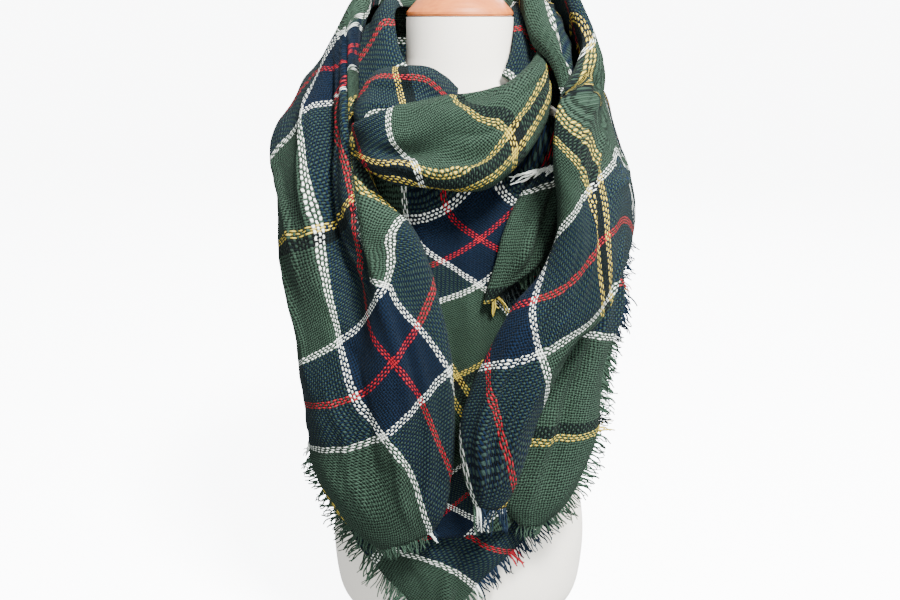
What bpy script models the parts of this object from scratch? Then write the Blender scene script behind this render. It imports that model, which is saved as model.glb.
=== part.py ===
"""A square plaid blanket scarf, folded to a triangle and wrapped round a limbless dress form.

The form is a smooth padded torso with a turned wooden neck cap, and it stands on its flat base.
The scarf is one square of cloth with a fringe on all four sides. Its triangle hangs down the
front, its two ends cross behind the neck and come forward over the shoulders as two tails.
Each stretch of the cloth that shows is a wall of its own, laid over the stretches under it.

Every size is in millimetres: +Z is up, the wearer's front faces -Y and the base is at Z 0.
"left" and "right" are the sides as seen from the front.
"""

import math

import bmesh
import bpy
import numpy as np
from mathutils import Matrix, Vector
from mathutils.bvhtree import BVHTree

METRE = 0.001  # one millimetre, in Blender's metres

# Driving sizes of the cloth
WALL = 3.0  # folded cloth, two thicknesses of a bulky yarn
SEAM = 0.35  # gap between pieces that touch
LAYER = 7.5  # from the middle of one layer to the middle of the next
FORM_GAP = 5.0  # from the form to the middle of the cloth that lies on it
REACH = 90.0  # how far outwards a layer looks for the layers that it has to clear

# Driving sizes of the form
NECK_TOP = 700.0
CAP_HEIGHT = 32.0
FORM_SIDES = 24
TORSO_CORE = 520.0  # the height above which the cloth lies round the shoulders
CORE_SHARE = 0.5  # how far sideways the torso reaches under the cloth, as a share of the cloth's place

# Driving sizes of the fringe
STRIP = 2.4  # the backing that holds a row of threads
THREAD = 2.2  # one lock of threads at its root
THREAD_LENGTH = 17.0
FRINGE_SEAM = 0.6  # gap between a fringe and the edge that it belongs to
TAPER = 0.75  # how wide a lock is half way to its tip, as a share of its root

# How finely the curves are worked out
SECTION_POINTS = 121
PATH_POINTS = 40  # for each station
EDGE_POINTS = 200
LIFT_STEPS = 24
CAP_RINGS = 8
CAP_TOP = 0.97  # where the dome of the cap ends flat, as a share of its height

# The form's outline, one row for each level.
# height, half width, front depth, back depth
FORM_LEVELS = [
    (0.0, 112.0, 78.0, 76.0),
    (9.0, 131.0, 95.0, 92.0),
    (30.0, 145.0, 106.0, 103.0),
    (70.0, 151.0, 111.0, 109.0),
    (115.0, 151.0, 111.0, 108.0),
    (180.0, 141.0, 102.0, 97.0),
    (265.0, 124.0, 88.0, 82.0),
    (340.0, 128.0, 94.0, 84.0),
    (410.0, 141.0, 106.0, 90.0),
    (460.0, 148.0, 109.0, 94.0),
    (510.0, 150.0, 101.0, 93.0),
    (550.0, 146.0, 88.0, 87.0),
    (580.0, 132.0, 78.0, 80.0),
    (600.0, 110.0, 68.0, 72.0),
    (616.0, 88.0, 61.0, 66.0),
    (630.0, 72.0, 57.0, 61.0),
    (650.0, 59.0, 54.5, 56.0),
    (NECK_TOP, 57.0, 54.0, 55.0),
]

# How each stretch of cloth hangs, one row for each station along it.
# left edge x, y, z, right edge x, y, z, crown, turn left, turn right
# crown is how far the cloth stands out between its edges. A turn is how many degrees the cloth
# goes on past its edge, back underneath, and where it is below 0 the cloth ends in an open edge.
COLLAR = [
    (-88, -72, 592, -44, -52, 640, 7, 0, 0),
    (-108, -50, 606, -60, -34, 676, 10, 10, 20),
    (-118, 2, 624, -66, 2, 716, 13, 20, 30),
    (-92, 62, 628, -52, 46, 728, 14, 20, 40),
    (0, 92, 622, 0, 66, 731, 14, 20, 40),
    (84, 60, 632, 52, 44, 726, 12, 20, 40),
    (94, 2, 634, 64, 0, 712, 8, 10, 30),
    (88, -46, 618, 60, -34, 672, 8, 10, 20),
    (80, -70, 596, 48, -52, 644, 7, 0, 0),
]

POINT = [
    (-70, -82, 262, 70, -82, 262, 9, -30, -30),
    (-112, -104, 205, 104, -102, 214, 13, -30, -30),
    (-120, -112, 152, 96, -110, 178, 15, -30, -30),
    (-92, -120, 112, 66, -118, 138, 12, -30, -30),
    (-64, -126, 82, 30, -124, 104, 8, -30, -30),
    (-40, -128, 56, 2, -127, 68, 5, -30, -30),
    (-26, -128, 38, -10, -127, 42, 2, -30, -30),
]

FRONT_PANEL = [
    (-78, -84, 586, 102, -58, 592, 14, 0, 0),
    (-94, -100, 548, 120, -76, 552, 18, 0, 0),
    (-98, -110, 490, 98, -106, 490, 18, 0, 0),
    (-92, -114, 400, 90, -112, 400, 16, 0, 0),
    (-84, -118, 300, 82, -116, 300, 16, 0, 0),
    (-82, -124, 220, 76, -122, 220, 15, 0, 0),
    (-80, -127, 172, 62, -125, 180, 14, 0, 0),
    (-74, -129, 154, 52, -128, 164, 12, 0, 0),
    (-70, -124, 150, 48, -123, 160, 12, 0, 0),
    (-70, -118, 158, 48, -117, 168, 12, 0, 0),
]

CORNER_TIP = [
    (82, -132, 556, 122, -122, 566, 5, 10, 0),
    (68, -141, 538, 116, -131, 545, 8, 25, 0),
    (50, -151, 506, 106, -143, 506, 9, 30, 0),
    (39, -157, 468, 92, -151, 470, 9, 30, -30),
    (32, -160, 438, 60, -157, 446, 6, 20, -30),
    (29, -161, 424, 37, -160, 426, 2, 0, -30),
]

LEFT_TAIL = [
    (60, 84, 640, 50, 62, 716, 10, 0, 10),
    (0, 112, 556, 0, 80, 724, 16, 20, 15),
    (-84, 106, 512, -48, 70, 726, 22, 40, 20),
    (-156, 62, 508, -76, 36, 724, 28, 30, 30),
    (-186, -12, 520, -82, 2, 716, 30, 35, 30),
    (-183, -56, 488, -98, -48, 666, 32, 50, 20),
    (-178, -82, 452, -98, -104, 600, 32, 50, 10),
    (-171, -100, 408, -82, -136, 540, 34, 50, 20),
    (-165, -112, 360, -44, -148, 504, 36, 50, 30),
    (-161, -120, 312, -20, -152, 438, 34, 45, 35),
    (-158, -124, 280, -7, -155, 366, 30, 20, 40),
    (-156, -128, 250, -4, -156, 306, 24, -30, 40),
    (-141, -132, 210, -6, -154, 256, 20, -30, 35),
    (-118, -134, 174, -12, -152, 212, 16, -30, 10),
    (-84, -137, 148, -26, -148, 176, 10, -30, -30),
]

ROLL = [
    (-94, -94, 596, -90, -74, 626, 6, -10, -10),
    (-94, -112, 590, -90, -80, 634, 14, 25, 25),
    (-80, -124, 582, -76, -76, 646, 22, 40, 80),
    (-54, -128, 578, -50, -72, 650, 24, 40, 80),
    (-28, -124, 576, -24, -68, 646, 22, 40, 80),
    (-2, -110, 578, -2, -64, 628, 13, 30, 40),
]

SWOOP = [
    (-94, -126, 564, -92, -112, 584, 6, -20, -10),
    (-86, -144, 556, -80, -124, 592, 12, 10, 10),
    (-62, -160, 548, -60, -128, 606, 18, 45, 50),
    (-20, -166, 545, -20, -118, 616, 23, 45, 60),
    (22, -166, 545, 22, -102, 624, 24, 45, 60),
    (54, -156, 564, 50, -84, 636, 22, 45, 60),
    (80, -130, 594, 72, -62, 652, 18, 45, 50),
    (90, -96, 614, 80, -38, 664, 12, 30, 30),
]

NECK_FOLD = [
    (56, 60, 672, 46, 50, 730, 8, 10, 30),
    (78, 26, 668, 57, 16, 730, 11, 20, 50),
    (88, -12, 664, 61, -8, 724, 13, 30, 60),
    (99, -50, 648, 71, -36, 686, 14, 30, 60),
    (108, -92, 622, 90, -76, 650, 13, 20, 20),
    (108, -114, 604, 98, -106, 622, 7, 0, 0),
]

RIGHT_BACK = [
    (112, -84, 446, 172, -60, 440, 5, -30, -30),
    (108, -98, 400, 172, -72, 396, 6, -30, -30),
    (104, -104, 352, 172, -80, 350, 6, -30, -30),
    (100, -106, 306, 162, -88, 306, 6, -30, -30),
    (98, -108, 264, 148, -94, 268, 5, -30, -30),
]

RIGHT_UNDER = [
    (120, -84, 512, 174, -60, 494, 6, 0, -30),
    (118, -108, 462, 173, -80, 446, 8, 0, -30),
    (108, -128, 412, 173, -92, 404, 10, 0, -30),
    (94, -138, 372, 159, -104, 368, 12, 0, -30),
    (70, -142, 326, 150, -112, 322, 13, 0, -30),
    (52, -144, 278, 148, -118, 272, 13, 0, -30),
    (42, -144, 236, 132, -126, 226, 12, -20, -30),
    (46, -143, 202, 113, -132, 190, 10, -30, -30),
    (66, -141, 172, 92, -135, 172, 5, -30, -30),
]

RIGHT_TAIL = [
    (-92, 58, 696, -66, 44, 722, 4, 0, 0),
    (-52, 108, 636, -34, 74, 732, 14, 10, 15),
    (22, 128, 546, 8, 88, 730, 22, 30, 20),
    (102, 106, 506, 58, 66, 728, 27, 40, 30),
    (150, 48, 504, 76, 30, 728, 28, 50, 50),
    (162, -24, 514, 84, -4, 718, 26, 50, 55),
    (164, -60, 484, 99, -60, 670, 26, 50, 50),
    (161, -88, 462, 78, -140, 626, 28, 50, 60),
    (155, -112, 446, 82, -160, 572, 28, 50, 60),
    (146, -132, 430, 93, -168, 518, 24, 50, 60),
    (134, -144, 410, 82, -174, 468, 22, 50, 60),
    (116, -154, 392, 52, -178, 430, 22, 50, 50),
    (99, -161, 362, 30, -178, 388, 22, 50, 40),
    (86, -165, 330, 12, -176, 346, 22, 50, 30),
    (74, -168, 296, 0, -174, 302, 20, 50, 20),
    (62, -168, 254, 4, -172, 252, 16, 40, 0),
    (47, -166, 212, 14, -168, 214, 9, 10, -30),
]

# The largest folds, one row for each.
# start along, end along, place across at the start, at the end, spread before, spread after, height
# Places are shares of the stretch's length and of its front. A height below 0 is a trough, sunk
# before the stretch is laid on what is under it, and the others are ridges raised on it after.
FOLDS = {
    "collar": [
        (0.05, 0.95, 0.45, 0.50, 0.14, 0.14, 5),
    ],
    "front_panel": [
        (0.05, 0.75, 0.28, 0.40, 0.10, 0.12, 6),
        (0.10, 0.70, 0.68, 0.58, 0.12, 0.10, 6),
    ],
    "point": [
        (0.35, 1.00, 0.30, 0.62, 0.07, 0.10, 6),
        (0.10, 0.70, 0.72, 0.60, 0.10, 0.10, -6),
    ],
    "corner_tip": [
        (0.05, 0.80, 0.34, 0.40, 0.12, 0.12, 5),
    ],
    "left_tail": [
        (0.36, 0.78, 0.86, 0.42, 0.09, 0.14, -26),
        (0.02, 0.46, 0.24, 0.26, 0.10, 0.12, 14),
        (0.04, 0.40, 0.44, 0.48, 0.12, 0.10, 10),
        (0.02, 0.36, 0.80, 0.74, 0.10, 0.10, 3),
        (0.58, 0.98, 0.12, 0.22, 0.09, 0.11, 6),
        (0.60, 0.96, 0.66, 0.62, 0.12, 0.14, 8),
    ],
    "roll": [
        (0.10, 0.95, 0.46, 0.54, 0.07, 0.07, -8),
        (0.15, 0.90, 0.72, 0.78, 0.10, 0.10, 5),
    ],
    "swoop": [
        (0.08, 0.66, 0.42, 0.26, 0.10, 0.08, -18),
        (0.20, 1.10, 0.72, 0.62, 0.12, 0.12, 7),
        (0.40, 1.10, 0.16, 0.24, 0.09, 0.08, 6),
    ],
    "neck_fold": [
        (0.10, 0.90, 0.34, 0.40, 0.14, 0.14, 5),
    ],
    "right_back": [
        (0.05, 0.95, 0.72, 0.66, 0.12, 0.12, 4),
    ],
    "right_under": [
        (0.10, 0.90, 0.34, 0.28, 0.10, 0.12, 6),
        (0.30, 1.00, 0.72, 0.66, 0.10, 0.12, 7),
    ],
    "right_tail": [
        (0.02, 0.42, 0.24, 0.28, 0.10, 0.12, 16),
        (0.04, 0.44, 0.44, 0.44, 0.12, 0.10, 13),
        (0.03, 0.38, 0.80, 0.76, 0.10, 0.10, 4),
        (0.42, 0.80, 0.30, 0.44, 0.12, 0.10, 8),
        (0.42, 0.62, 0.84, 0.80, 0.10, 0.08, 7),
        (0.56, 0.98, 0.24, 0.30, 0.12, 0.12, 6),
        (0.66, 1.00, 0.76, 0.70, 0.10, 0.12, 6),
    ],
}

# The rows of fringe, one row of the table for each.
# fringe, stretch that it is on, edge, start and end as shares of that edge, locks, droop, lean
# droop is how far the locks hang down for their length, and lean how far they stand off.
FRINGES = [
    ("left_tail_side_fringe", "left_tail", "left", 0.84, 0.985, 14, 0.35, 0.0),
    ("left_tail_end_fringe", "left_tail", "end", 0.06, 0.98, 9, 0.20, 0.1),
    ("point_left_fringe", "point", "left", 0.30, 0.97, 18, 0.25, 0.5),
    ("point_right_fringe", "point", "right", 0.30, 0.97, 18, 0.25, 0.9),
    ("corner_tip_fringe", "corner_tip", "right", 0.45, 0.96, 9, 0.25, 0.9),
    ("corner_tip_top_fringe", "corner_tip", "start", 0.10, 0.80, 5, 0.0, 0.2),
    ("right_under_side_fringe", "right_under", "right", 0.10, 0.97, 36, 0.25, 0.9),
    ("right_under_end_fringe", "right_under", "end", 0.10, 0.90, 3, 0.20, 0.1),
    ("right_back_side_fringe", "right_back", "right", 0.08, 0.97, 18, 0.35, 0.1),
    ("right_back_end_fringe", "right_back", "end", 0.10, 0.90, 5, 0.20, 0.1),
    ("right_tail_end_fringe", "right_tail", "end", 0.25, 0.95, 5, 0.20, 0.1),
]

# Colour (linear red, green, blue), roughness and metallic value of each finish
FINISHES = {
    "green_plaid": ((0.075, 0.115, 0.065), 0.92, 0.0),
    "navy_plaid": ((0.012, 0.022, 0.055), 0.92, 0.0),
    "mixed_plaid": ((0.030, 0.060, 0.062), 0.92, 0.0),
    "fringe_yarn": ((0.050, 0.085, 0.060), 0.95, 0.0),
    "cream_jersey": ((0.80, 0.77, 0.68), 0.85, 0.0),
    "turned_wood": ((0.62, 0.33, 0.16), 0.40, 0.0),
}


def finish(name):
    """The material of that name, made the first time that it is asked for."""
    material = bpy.data.materials.get(name)
    if material is None:
        colour, roughness, metallic = FINISHES[name]
        material = bpy.data.materials.new(name)
        material.use_nodes = True
        shader = material.node_tree.nodes["Principled BSDF"]
        shader.inputs["Base Color"].default_value = (*colour, 1.0)
        shader.inputs["Roughness"].default_value = roughness
        shader.inputs["Metallic"].default_value = metallic
    return material


def smooth_step(t):
    """0 below 0, 1 above 1, and a soft slope between them."""
    t = np.clip(t, 0.0, 1.0)
    return t * t * (3.0 - 2.0 * t)


def through(rows, places):
    """The rows' values at places counted in rows, on one smooth curve through all of them."""
    rows = np.asarray(rows, float)
    last = len(rows) - 1
    padded = np.vstack([2 * rows[0] - rows[1], rows, 2 * rows[last] - rows[last - 1]])
    first = np.clip(np.floor(places).astype(int), 0, last - 1)
    t = (places - first)[:, None]
    a, b, c, d = (padded[first + k] for k in range(4))
    return 0.5 * (2 * b + (c - a) * t + (2 * a - 5 * b + 4 * c - d) * t**2
                  + (3 * b - a - 3 * c + d) * t**3)


def evenly(points, count):
    """Where count + 1 points lie on a line of points, evenly by length, counted in points."""
    steps = np.linalg.norm(np.diff(points, axis=0), axis=1)
    run = np.concatenate([[0.0], np.cumsum(steps)])
    return np.interp(np.linspace(0.0, run[-1], count + 1), run, np.arange(len(run)))


def section(half, crown, turn_left, turn_right, count):
    """One cross-section: how far across and out each point is, its place on the front, and its window.

    It is part of a flat ellipse, so the cloth rounds away at its edges, and a positive turn
    carries it on past the edge and back underneath. The window is 1 on the front and fades to 0
    where the cloth has turned under, so that folds stay on the side that shows.
    """
    angle = np.linspace(-math.radians(90 + turn_left), math.radians(90 + turn_right),
                        SECTION_POINTS)
    across = np.sin(angle)
    out = np.cos(angle)
    for side, turn in ((angle < 0, turn_left), (angle > 0, turn_right)):
        if turn < 0:
            end = math.radians(90 + turn)
            across[side] = across[side] / math.sin(end)
            out[side] = (out[side] - math.cos(end)) / (1 - math.cos(end))
    line = np.column_stack([half * across, crown * out])
    places = evenly(line, count)
    steps = np.arange(len(angle))
    columns = [np.interp(places, steps, values) for values in (line[:, 0], line[:, 1], angle)]
    front = 0.5 * (1 + np.sin(np.clip(columns[2], -math.pi / 2, math.pi / 2)))
    window = smooth_step((math.radians(95) - np.abs(columns[2])) / math.radians(30))
    return columns[0], columns[1], front, window


def fold_heights(folds, along, front):
    """How far the folds raise a section at this share of the length, or sink it below 0."""
    total = np.zeros_like(front)
    for start, end, first, last, before, after, height in folds:
        if not start < along < end:
            continue
        t = (along - start) / (end - start)
        strength = smooth_step(min(t, 1 - t) / 0.28)
        centre = first + (last - first) * t
        spread = np.where(front < centre, before, after)
        total += height * strength * np.exp(-(((front - centre) / spread) ** 2))
    return total


def lay(name, stations, rows, columns):
    """A grid of points for a stretch of cloth, each one's way out, and its ridges' height."""
    troughs = [fold for fold in FOLDS.get(name, []) if fold[-1] < 0]
    ridges = [fold for fold in FOLDS.get(name, []) if fold[-1] > 0]
    stations = np.asarray(stations, float)
    fine = np.linspace(0, len(stations) - 1, PATH_POINTS * len(stations))
    path = through(stations, fine)
    middle = 0.5 * (path[:, 0:3] + path[:, 3:6])
    lines = through(stations, np.interp(evenly(middle, rows), np.arange(len(fine)), fine))
    grid = np.zeros((rows + 1, columns + 1, 3))
    ways = np.zeros_like(grid)
    raised = np.zeros((rows + 1, columns + 1))
    for k, line in enumerate(lines):
        left, right = line[0:3], line[3:6]
        centre = 0.5 * (left + right)
        width = (right - left) / np.linalg.norm(right - left)
        core = np.array([CORE_SHARE * centre[0], 0.0, min(centre[2], TORSO_CORE)])
        away = centre - core
        away -= width * (away @ width)
        away /= np.linalg.norm(away)
        half = 0.5 * np.linalg.norm(right - left)
        across, out, front, window = section(half, line[6], line[7], line[8], columns)
        out = out + window * fold_heights(troughs, k / rows, front)
        grid[k] = centre + np.outer(across, width) + np.outer(out, away)
        ways[k] = away
        raised[k] = window * fold_heights(ridges, k / rows, front)
    return grid, ways, raised


def spread_out(push):
    """The pushes widened and softened over the grid, and nowhere less than they were."""
    wide = push.copy()
    for _ in range(2):
        padded = np.pad(wide, 1, mode="edge")
        wide = np.max([padded[i:i + push.shape[0], j:j + push.shape[1]]
                       for i in range(3) for j in range(3)], axis=0)
    for _ in range(4):
        padded = np.pad(wide, 1, mode="edge")
        wide = np.mean([padded[i:i + push.shape[0], j:j + push.shape[1]]
                        for i in range(3) for j in range(3)], axis=0)
    return np.maximum(push, wide)


def tree_of(grid):
    """A search tree over a grid's faces."""
    rows, columns = grid.shape[0], grid.shape[1]
    faces = [(i * columns + j, i * columns + j + 1, (i + 1) * columns + j + 1, (i + 1) * columns + j)
             for i in range(rows - 1) for j in range(columns - 1)]
    return BVHTree.FromPolygons([tuple(p) for p in grid.reshape(-1, 3)], faces)


def lift(grid, ways, raised, under):
    """The grid moved outwards until it clears each layer under it, with its ridges raised.

    under has a search tree and the clearance for each layer.
    """
    push = np.zeros(grid.shape[:2])
    for i in range(grid.shape[0]):
        for j in range(grid.shape[1]):
            start, way = Vector(grid[i, j]), Vector(ways[i, j])
            moved = 0.0
            for _ in range(LIFT_STEPS):
                step = 0.0
                for tree, clearance in under:
                    spot = start + way * moved
                    hit, _, _, distance = tree.ray_cast(spot, way, REACH - moved)
                    if hit is not None:
                        step = max(step, distance + clearance)
                    near, _, _, distance = tree.find_nearest(spot, clearance)
                    if near is not None:
                        step = max(step, clearance - distance + 0.2)
                if step == 0.0:
                    break
                moved += step
            push[i, j] = moved
    return grid + ways * (spread_out(push) + raised)[:, :, None]


def normals_of(grid, ways):
    """Unit normals of a grid's points, on the side that its ways out point to."""
    down = np.gradient(grid, axis=0)
    across = np.gradient(grid, axis=1)
    normal = np.cross(down, across)
    normal /= np.maximum(np.linalg.norm(normal, axis=2, keepdims=True), 1e-9)
    middle = grid.shape[1] // 2
    side = np.sign(np.sum(normal[:, middle] * ways[:, middle]))
    return normal * side


def wall_of(grid, ways):
    """A closed wall WALL thick round the grid, as one bmesh with its faces pointing out."""
    normal = normals_of(grid, ways)
    shape = bmesh.new()
    sheets = []
    for offset in (WALL / 2, -WALL / 2):
        points = grid + normal * offset
        sheets.append([[shape.verts.new(p) for p in row] for row in points])
    rows, columns = len(sheets[0]), len(sheets[0][0])
    for sheet in sheets:
        for i in range(rows - 1):
            for j in range(columns - 1):
                shape.faces.new((sheet[i][j], sheet[i][j + 1], sheet[i + 1][j + 1], sheet[i + 1][j]))
    rim = ([(0, j) for j in range(columns)]
           + [(i, columns - 1) for i in range(1, rows)]
           + [(rows - 1, j) for j in range(columns - 2, -1, -1)]
           + [(i, 0) for i in range(rows - 2, 0, -1)])
    for (i, j), (k, m) in zip(rim, rim[1:] + rim[:1]):
        shape.faces.new((sheets[0][i][j], sheets[0][k][m], sheets[1][k][m], sheets[1][i][j]))
    bmesh.ops.triangulate(shape, faces=shape.faces)
    bmesh.ops.recalc_face_normals(shape, faces=shape.faces)
    return shape


def place(name, shape, finish_name, smooth=True):
    """A bmesh in millimetres as a named object in metres."""
    mesh = bpy.data.meshes.new(name)
    bmesh.ops.scale(shape, vec=(METRE, METRE, METRE), verts=shape.verts)
    shape.to_mesh(mesh)
    shape.free()
    if smooth:
        mesh.shade_smooth()
        mesh.set_sharp_from_angle(angle=math.radians(60))
    mesh.materials.append(finish(finish_name))
    thing = bpy.data.objects.new(name, mesh)
    bpy.context.scene.collection.objects.link(thing)
    return thing


def samples_of(shape):
    """Points spread over a bmesh: its corners and the middles of its edges and faces."""
    return ([v.co.copy() for v in shape.verts]
            + [0.5 * (e.verts[0].co + e.verts[1].co) for e in shape.edges]
            + [f.calc_center_median() for f in shape.faces])


def nearest_gap(shape, tree, other_points):
    """The shortest way from a bmesh to a neighbour, as a vector."""
    best = None
    for point in samples_of(shape):
        spot, _, _, distance = tree.find_nearest(point)
        if best is None or distance < best.length:
            best = spot - point
    own = BVHTree.FromBMesh(shape)
    for point in other_points:
        spot, _, _, distance = own.find_nearest(point)
        if distance < best.length:
            best = point - spot
    return best


def seat(shape, grid, supports):
    """Moves a wall as a whole against the nearest of its supports, a seam's gap away."""
    ways = [nearest_gap(shape, tree, points) for tree, points in supports]
    way = min(ways, key=lambda w: w.length)
    move = way.normalized() * (way.length - SEAM)
    bmesh.ops.translate(shape, vec=move, verts=shape.verts)
    return grid + np.array(move)


def ring(height, half, front, back, sides):
    """The points of the form's outline at one height: two half ellipses."""
    points = []
    for k in range(sides):
        angle = 2 * math.pi * k / sides
        depth = front if math.sin(angle) < 0 else back
        points.append((half * math.cos(angle), depth * math.sin(angle), height))
    return points


def skin(rings):
    """A closed bmesh through rings of points, capped at both ends."""
    shape = bmesh.new()
    loops = [[shape.verts.new(p) for p in points] for points in rings]
    for low, high in zip(loops, loops[1:]):
        for k in range(len(low)):
            m = (k + 1) % len(low)
            shape.faces.new((low[k], low[m], high[m], high[k]))
    shape.faces.new(list(reversed(loops[0])))
    shape.faces.new(loops[-1])
    bmesh.ops.triangulate(shape, faces=[f for f in shape.faces if len(f.verts) == 4])
    return shape


def dress_form():
    """The torso and neck, and the turned cap that closes the neck."""
    levels = np.asarray(FORM_LEVELS)
    heights = np.arange(len(levels) - 1)
    places = np.concatenate([[h, h + 0.5] for h in heights] + [[len(levels) - 1]])
    shape = skin([ring(*row, FORM_SIDES) for row in through(levels, places)])
    tree = BVHTree.FromBMesh(shape)
    points = [v.co.copy() for v in shape.verts]
    place("dress_form", shape, "cream_jersey")
    top = levels[-1]
    cap_foot = NECK_TOP + SEAM
    cap = []
    for share in np.linspace(0, CAP_TOP, CAP_RINGS):
        size = math.sqrt(1 - share**2)
        cap.append(ring(cap_foot + CAP_HEIGHT * share, top[1] * size, top[2] * size, top[3] * size,
                        FORM_SIDES))
    place("neck_cap", skin(cap), "turned_wood")
    return tree, points


def edge_of(grid, ways, edge, start, end):
    """A share of a grid's edge, the way that the cloth would go on past it, and its normals."""
    normal = normals_of(grid, ways)
    lines = {
        "left": (grid[:, 0], grid[:, 1], normal[:, 0]),
        "right": (grid[:, -1], grid[:, -2], normal[:, -1]),
        "start": (grid[0], grid[1], normal[0]),
        "end": (grid[-1], grid[-2], normal[-1]),
    }
    rim, inner, faces = lines[edge]
    steps = np.arange(len(rim))
    places = evenly(rim, EDGE_POINTS)
    places = places[int(EDGE_POINTS * start):int(EDGE_POINTS * end) + 1]
    return [np.column_stack([np.interp(places, steps, table[:, k]) for k in range(3)])
            for table in (rim, rim - inner, faces)]


def threads(name, rim, locks, droop, lean):
    """A row of fringe: a narrow strip just off the cloth's edge, with locks of thread on it."""
    rng = np.random.default_rng(len(name) + 7 * locks)
    places = evenly(rim[0], 2 * locks)
    steps = np.arange(len(rim[0]))
    line, off, out = (np.column_stack([np.interp(places, steps, table[:, k]) for k in range(3)])
                      for table in rim)
    along = np.gradient(line, axis=0)
    along /= np.linalg.norm(along, axis=1, keepdims=True)
    off -= along * np.sum(off * along, axis=1, keepdims=True)
    off /= np.linalg.norm(off, axis=1, keepdims=True)
    out /= np.linalg.norm(out, axis=1, keepdims=True)
    shape = bmesh.new()
    rows = []
    for k in range(len(line)):
        near = line[k] + off[k] * FRINGE_SEAM
        far = near + off[k] * STRIP
        half = out[k] * THREAD / 2
        rows.append([shape.verts.new(p) for p in (near - half, near + half, far + half, far - half)])
    roots = []
    for k in range(len(rows) - 1):
        for m in range(4):
            n = (m + 1) % 4
            face = shape.faces.new((rows[k][m], rows[k][n], rows[k + 1][n], rows[k + 1][m]))
            if m == 2 and k % 2 == 0:
                roots.append((face, k))
    shape.faces.new(list(reversed(rows[0])))
    shape.faces.new(rows[-1])
    bmesh.ops.recalc_face_normals(shape, faces=shape.faces)
    for face, k in roots:
        reach = THREAD_LENGTH * rng.uniform(0.8, 1.2)
        way = off[k] + out[k] * lean + along[k] * rng.uniform(-0.25, 0.25)
        way += np.array([0, 0, -droop])
        way /= np.linalg.norm(way)
        grown = bmesh.ops.extrude_discrete_faces(shape, faces=[face])["faces"][0]
        bmesh.ops.translate(shape, vec=Vector(way) * reach * 0.5, verts=grown.verts)
        middle = grown.calc_center_median()
        bmesh.ops.scale(shape, vec=(TAPER, TAPER, TAPER), space=Matrix.Translation(-middle),
                        verts=grown.verts)
        way += np.array([0, 0, -droop])
        tip = bmesh.ops.poke(shape, faces=[grown])["verts"][0]
        tip.co += Vector(way / np.linalg.norm(way)) * reach * 0.5
    bmesh.ops.triangulate(shape, faces=shape.faces)
    print(name, "has", len(shape.faces), "triangles")
    place(name, shape, "fringe_yarn", smooth=False)


def main():
    for thing in list(bpy.data.objects):
        bpy.data.objects.remove(thing)
    form, form_points = dress_form()
    # name, stations, rows, columns, finish, layers under it
    stretches = [
        ("collar", COLLAR, 26, 6, "mixed_plaid", []),
        ("point", POINT, 14, 10, "green_plaid", []),
        ("front_panel", FRONT_PANEL, 24, 10, "navy_plaid", ["collar", "point"]),
        ("corner_tip", CORNER_TIP, 10, 6, "green_plaid", ["front_panel"]),
        ("left_tail", LEFT_TAIL, 36, 18, "mixed_plaid", ["collar", "point", "front_panel"]),
        ("roll", ROLL, 13, 9, "mixed_plaid", ["collar", "front_panel", "left_tail"]),
        ("swoop", SWOOP, 20, 12, "green_plaid",
         ["collar", "front_panel", "corner_tip", "left_tail", "roll"]),
        ("neck_fold", NECK_FOLD, 14, 6, "green_plaid", ["collar", "left_tail", "swoop"]),
        ("right_back", RIGHT_BACK, 7, 4, "green_plaid", []),
        ("right_under", RIGHT_UNDER, 18, 8, "green_plaid", ["point", "front_panel", "right_back"]),
        ("right_tail", RIGHT_TAIL, 38, 16, "mixed_plaid",
         ["collar", "point", "front_panel", "corner_tip", "left_tail", "roll", "swoop", "neck_fold",
          "right_back", "right_under"]),
    ]
    laid = {}
    for name, stations, rows, columns, finish_name, under in stretches:
        grid, ways, raised = lay(name, stations, rows, columns)
        layers = [(form, FORM_GAP)] + [(laid[other]["tree"], LAYER) for other in under]
        grid = lift(grid, ways, raised, layers)
        shape = wall_of(grid, ways)
        supports = [(form, form_points)]
        supports += [(laid[other]["wall"], laid[other]["points"]) for other in under]
        grid = seat(shape, grid, supports)
        laid[name] = {"grid": grid, "ways": ways, "tree": tree_of(grid),
                      "wall": BVHTree.FromBMesh(shape), "points": samples_of(shape)}
        print(name, "has", len(shape.faces), "triangles")
        place(name, shape, finish_name)
    for name, stretch, edge, start, end, locks, droop, lean in FRINGES:
        rim = edge_of(laid[stretch]["grid"], laid[stretch]["ways"], edge, start, end)
        threads(name, rim, locks, droop, lean)


main()
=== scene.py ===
# %% [markdown]
# # A plaid blanket scarf on a dress form
# The real object is one big square of loosely woven cloth with a fringe on all four sides. It is
# folded to a triangle, wrapped round a limbless dress form, and its two ends hang down the front.
# This lesson dresses a plain solid model of it. The solids already have the right size and place,
# so every piece made here takes their form and adds what cloth needs: a thin finer shell, creases,
# a weave, and loose threads along the edges.

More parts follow.
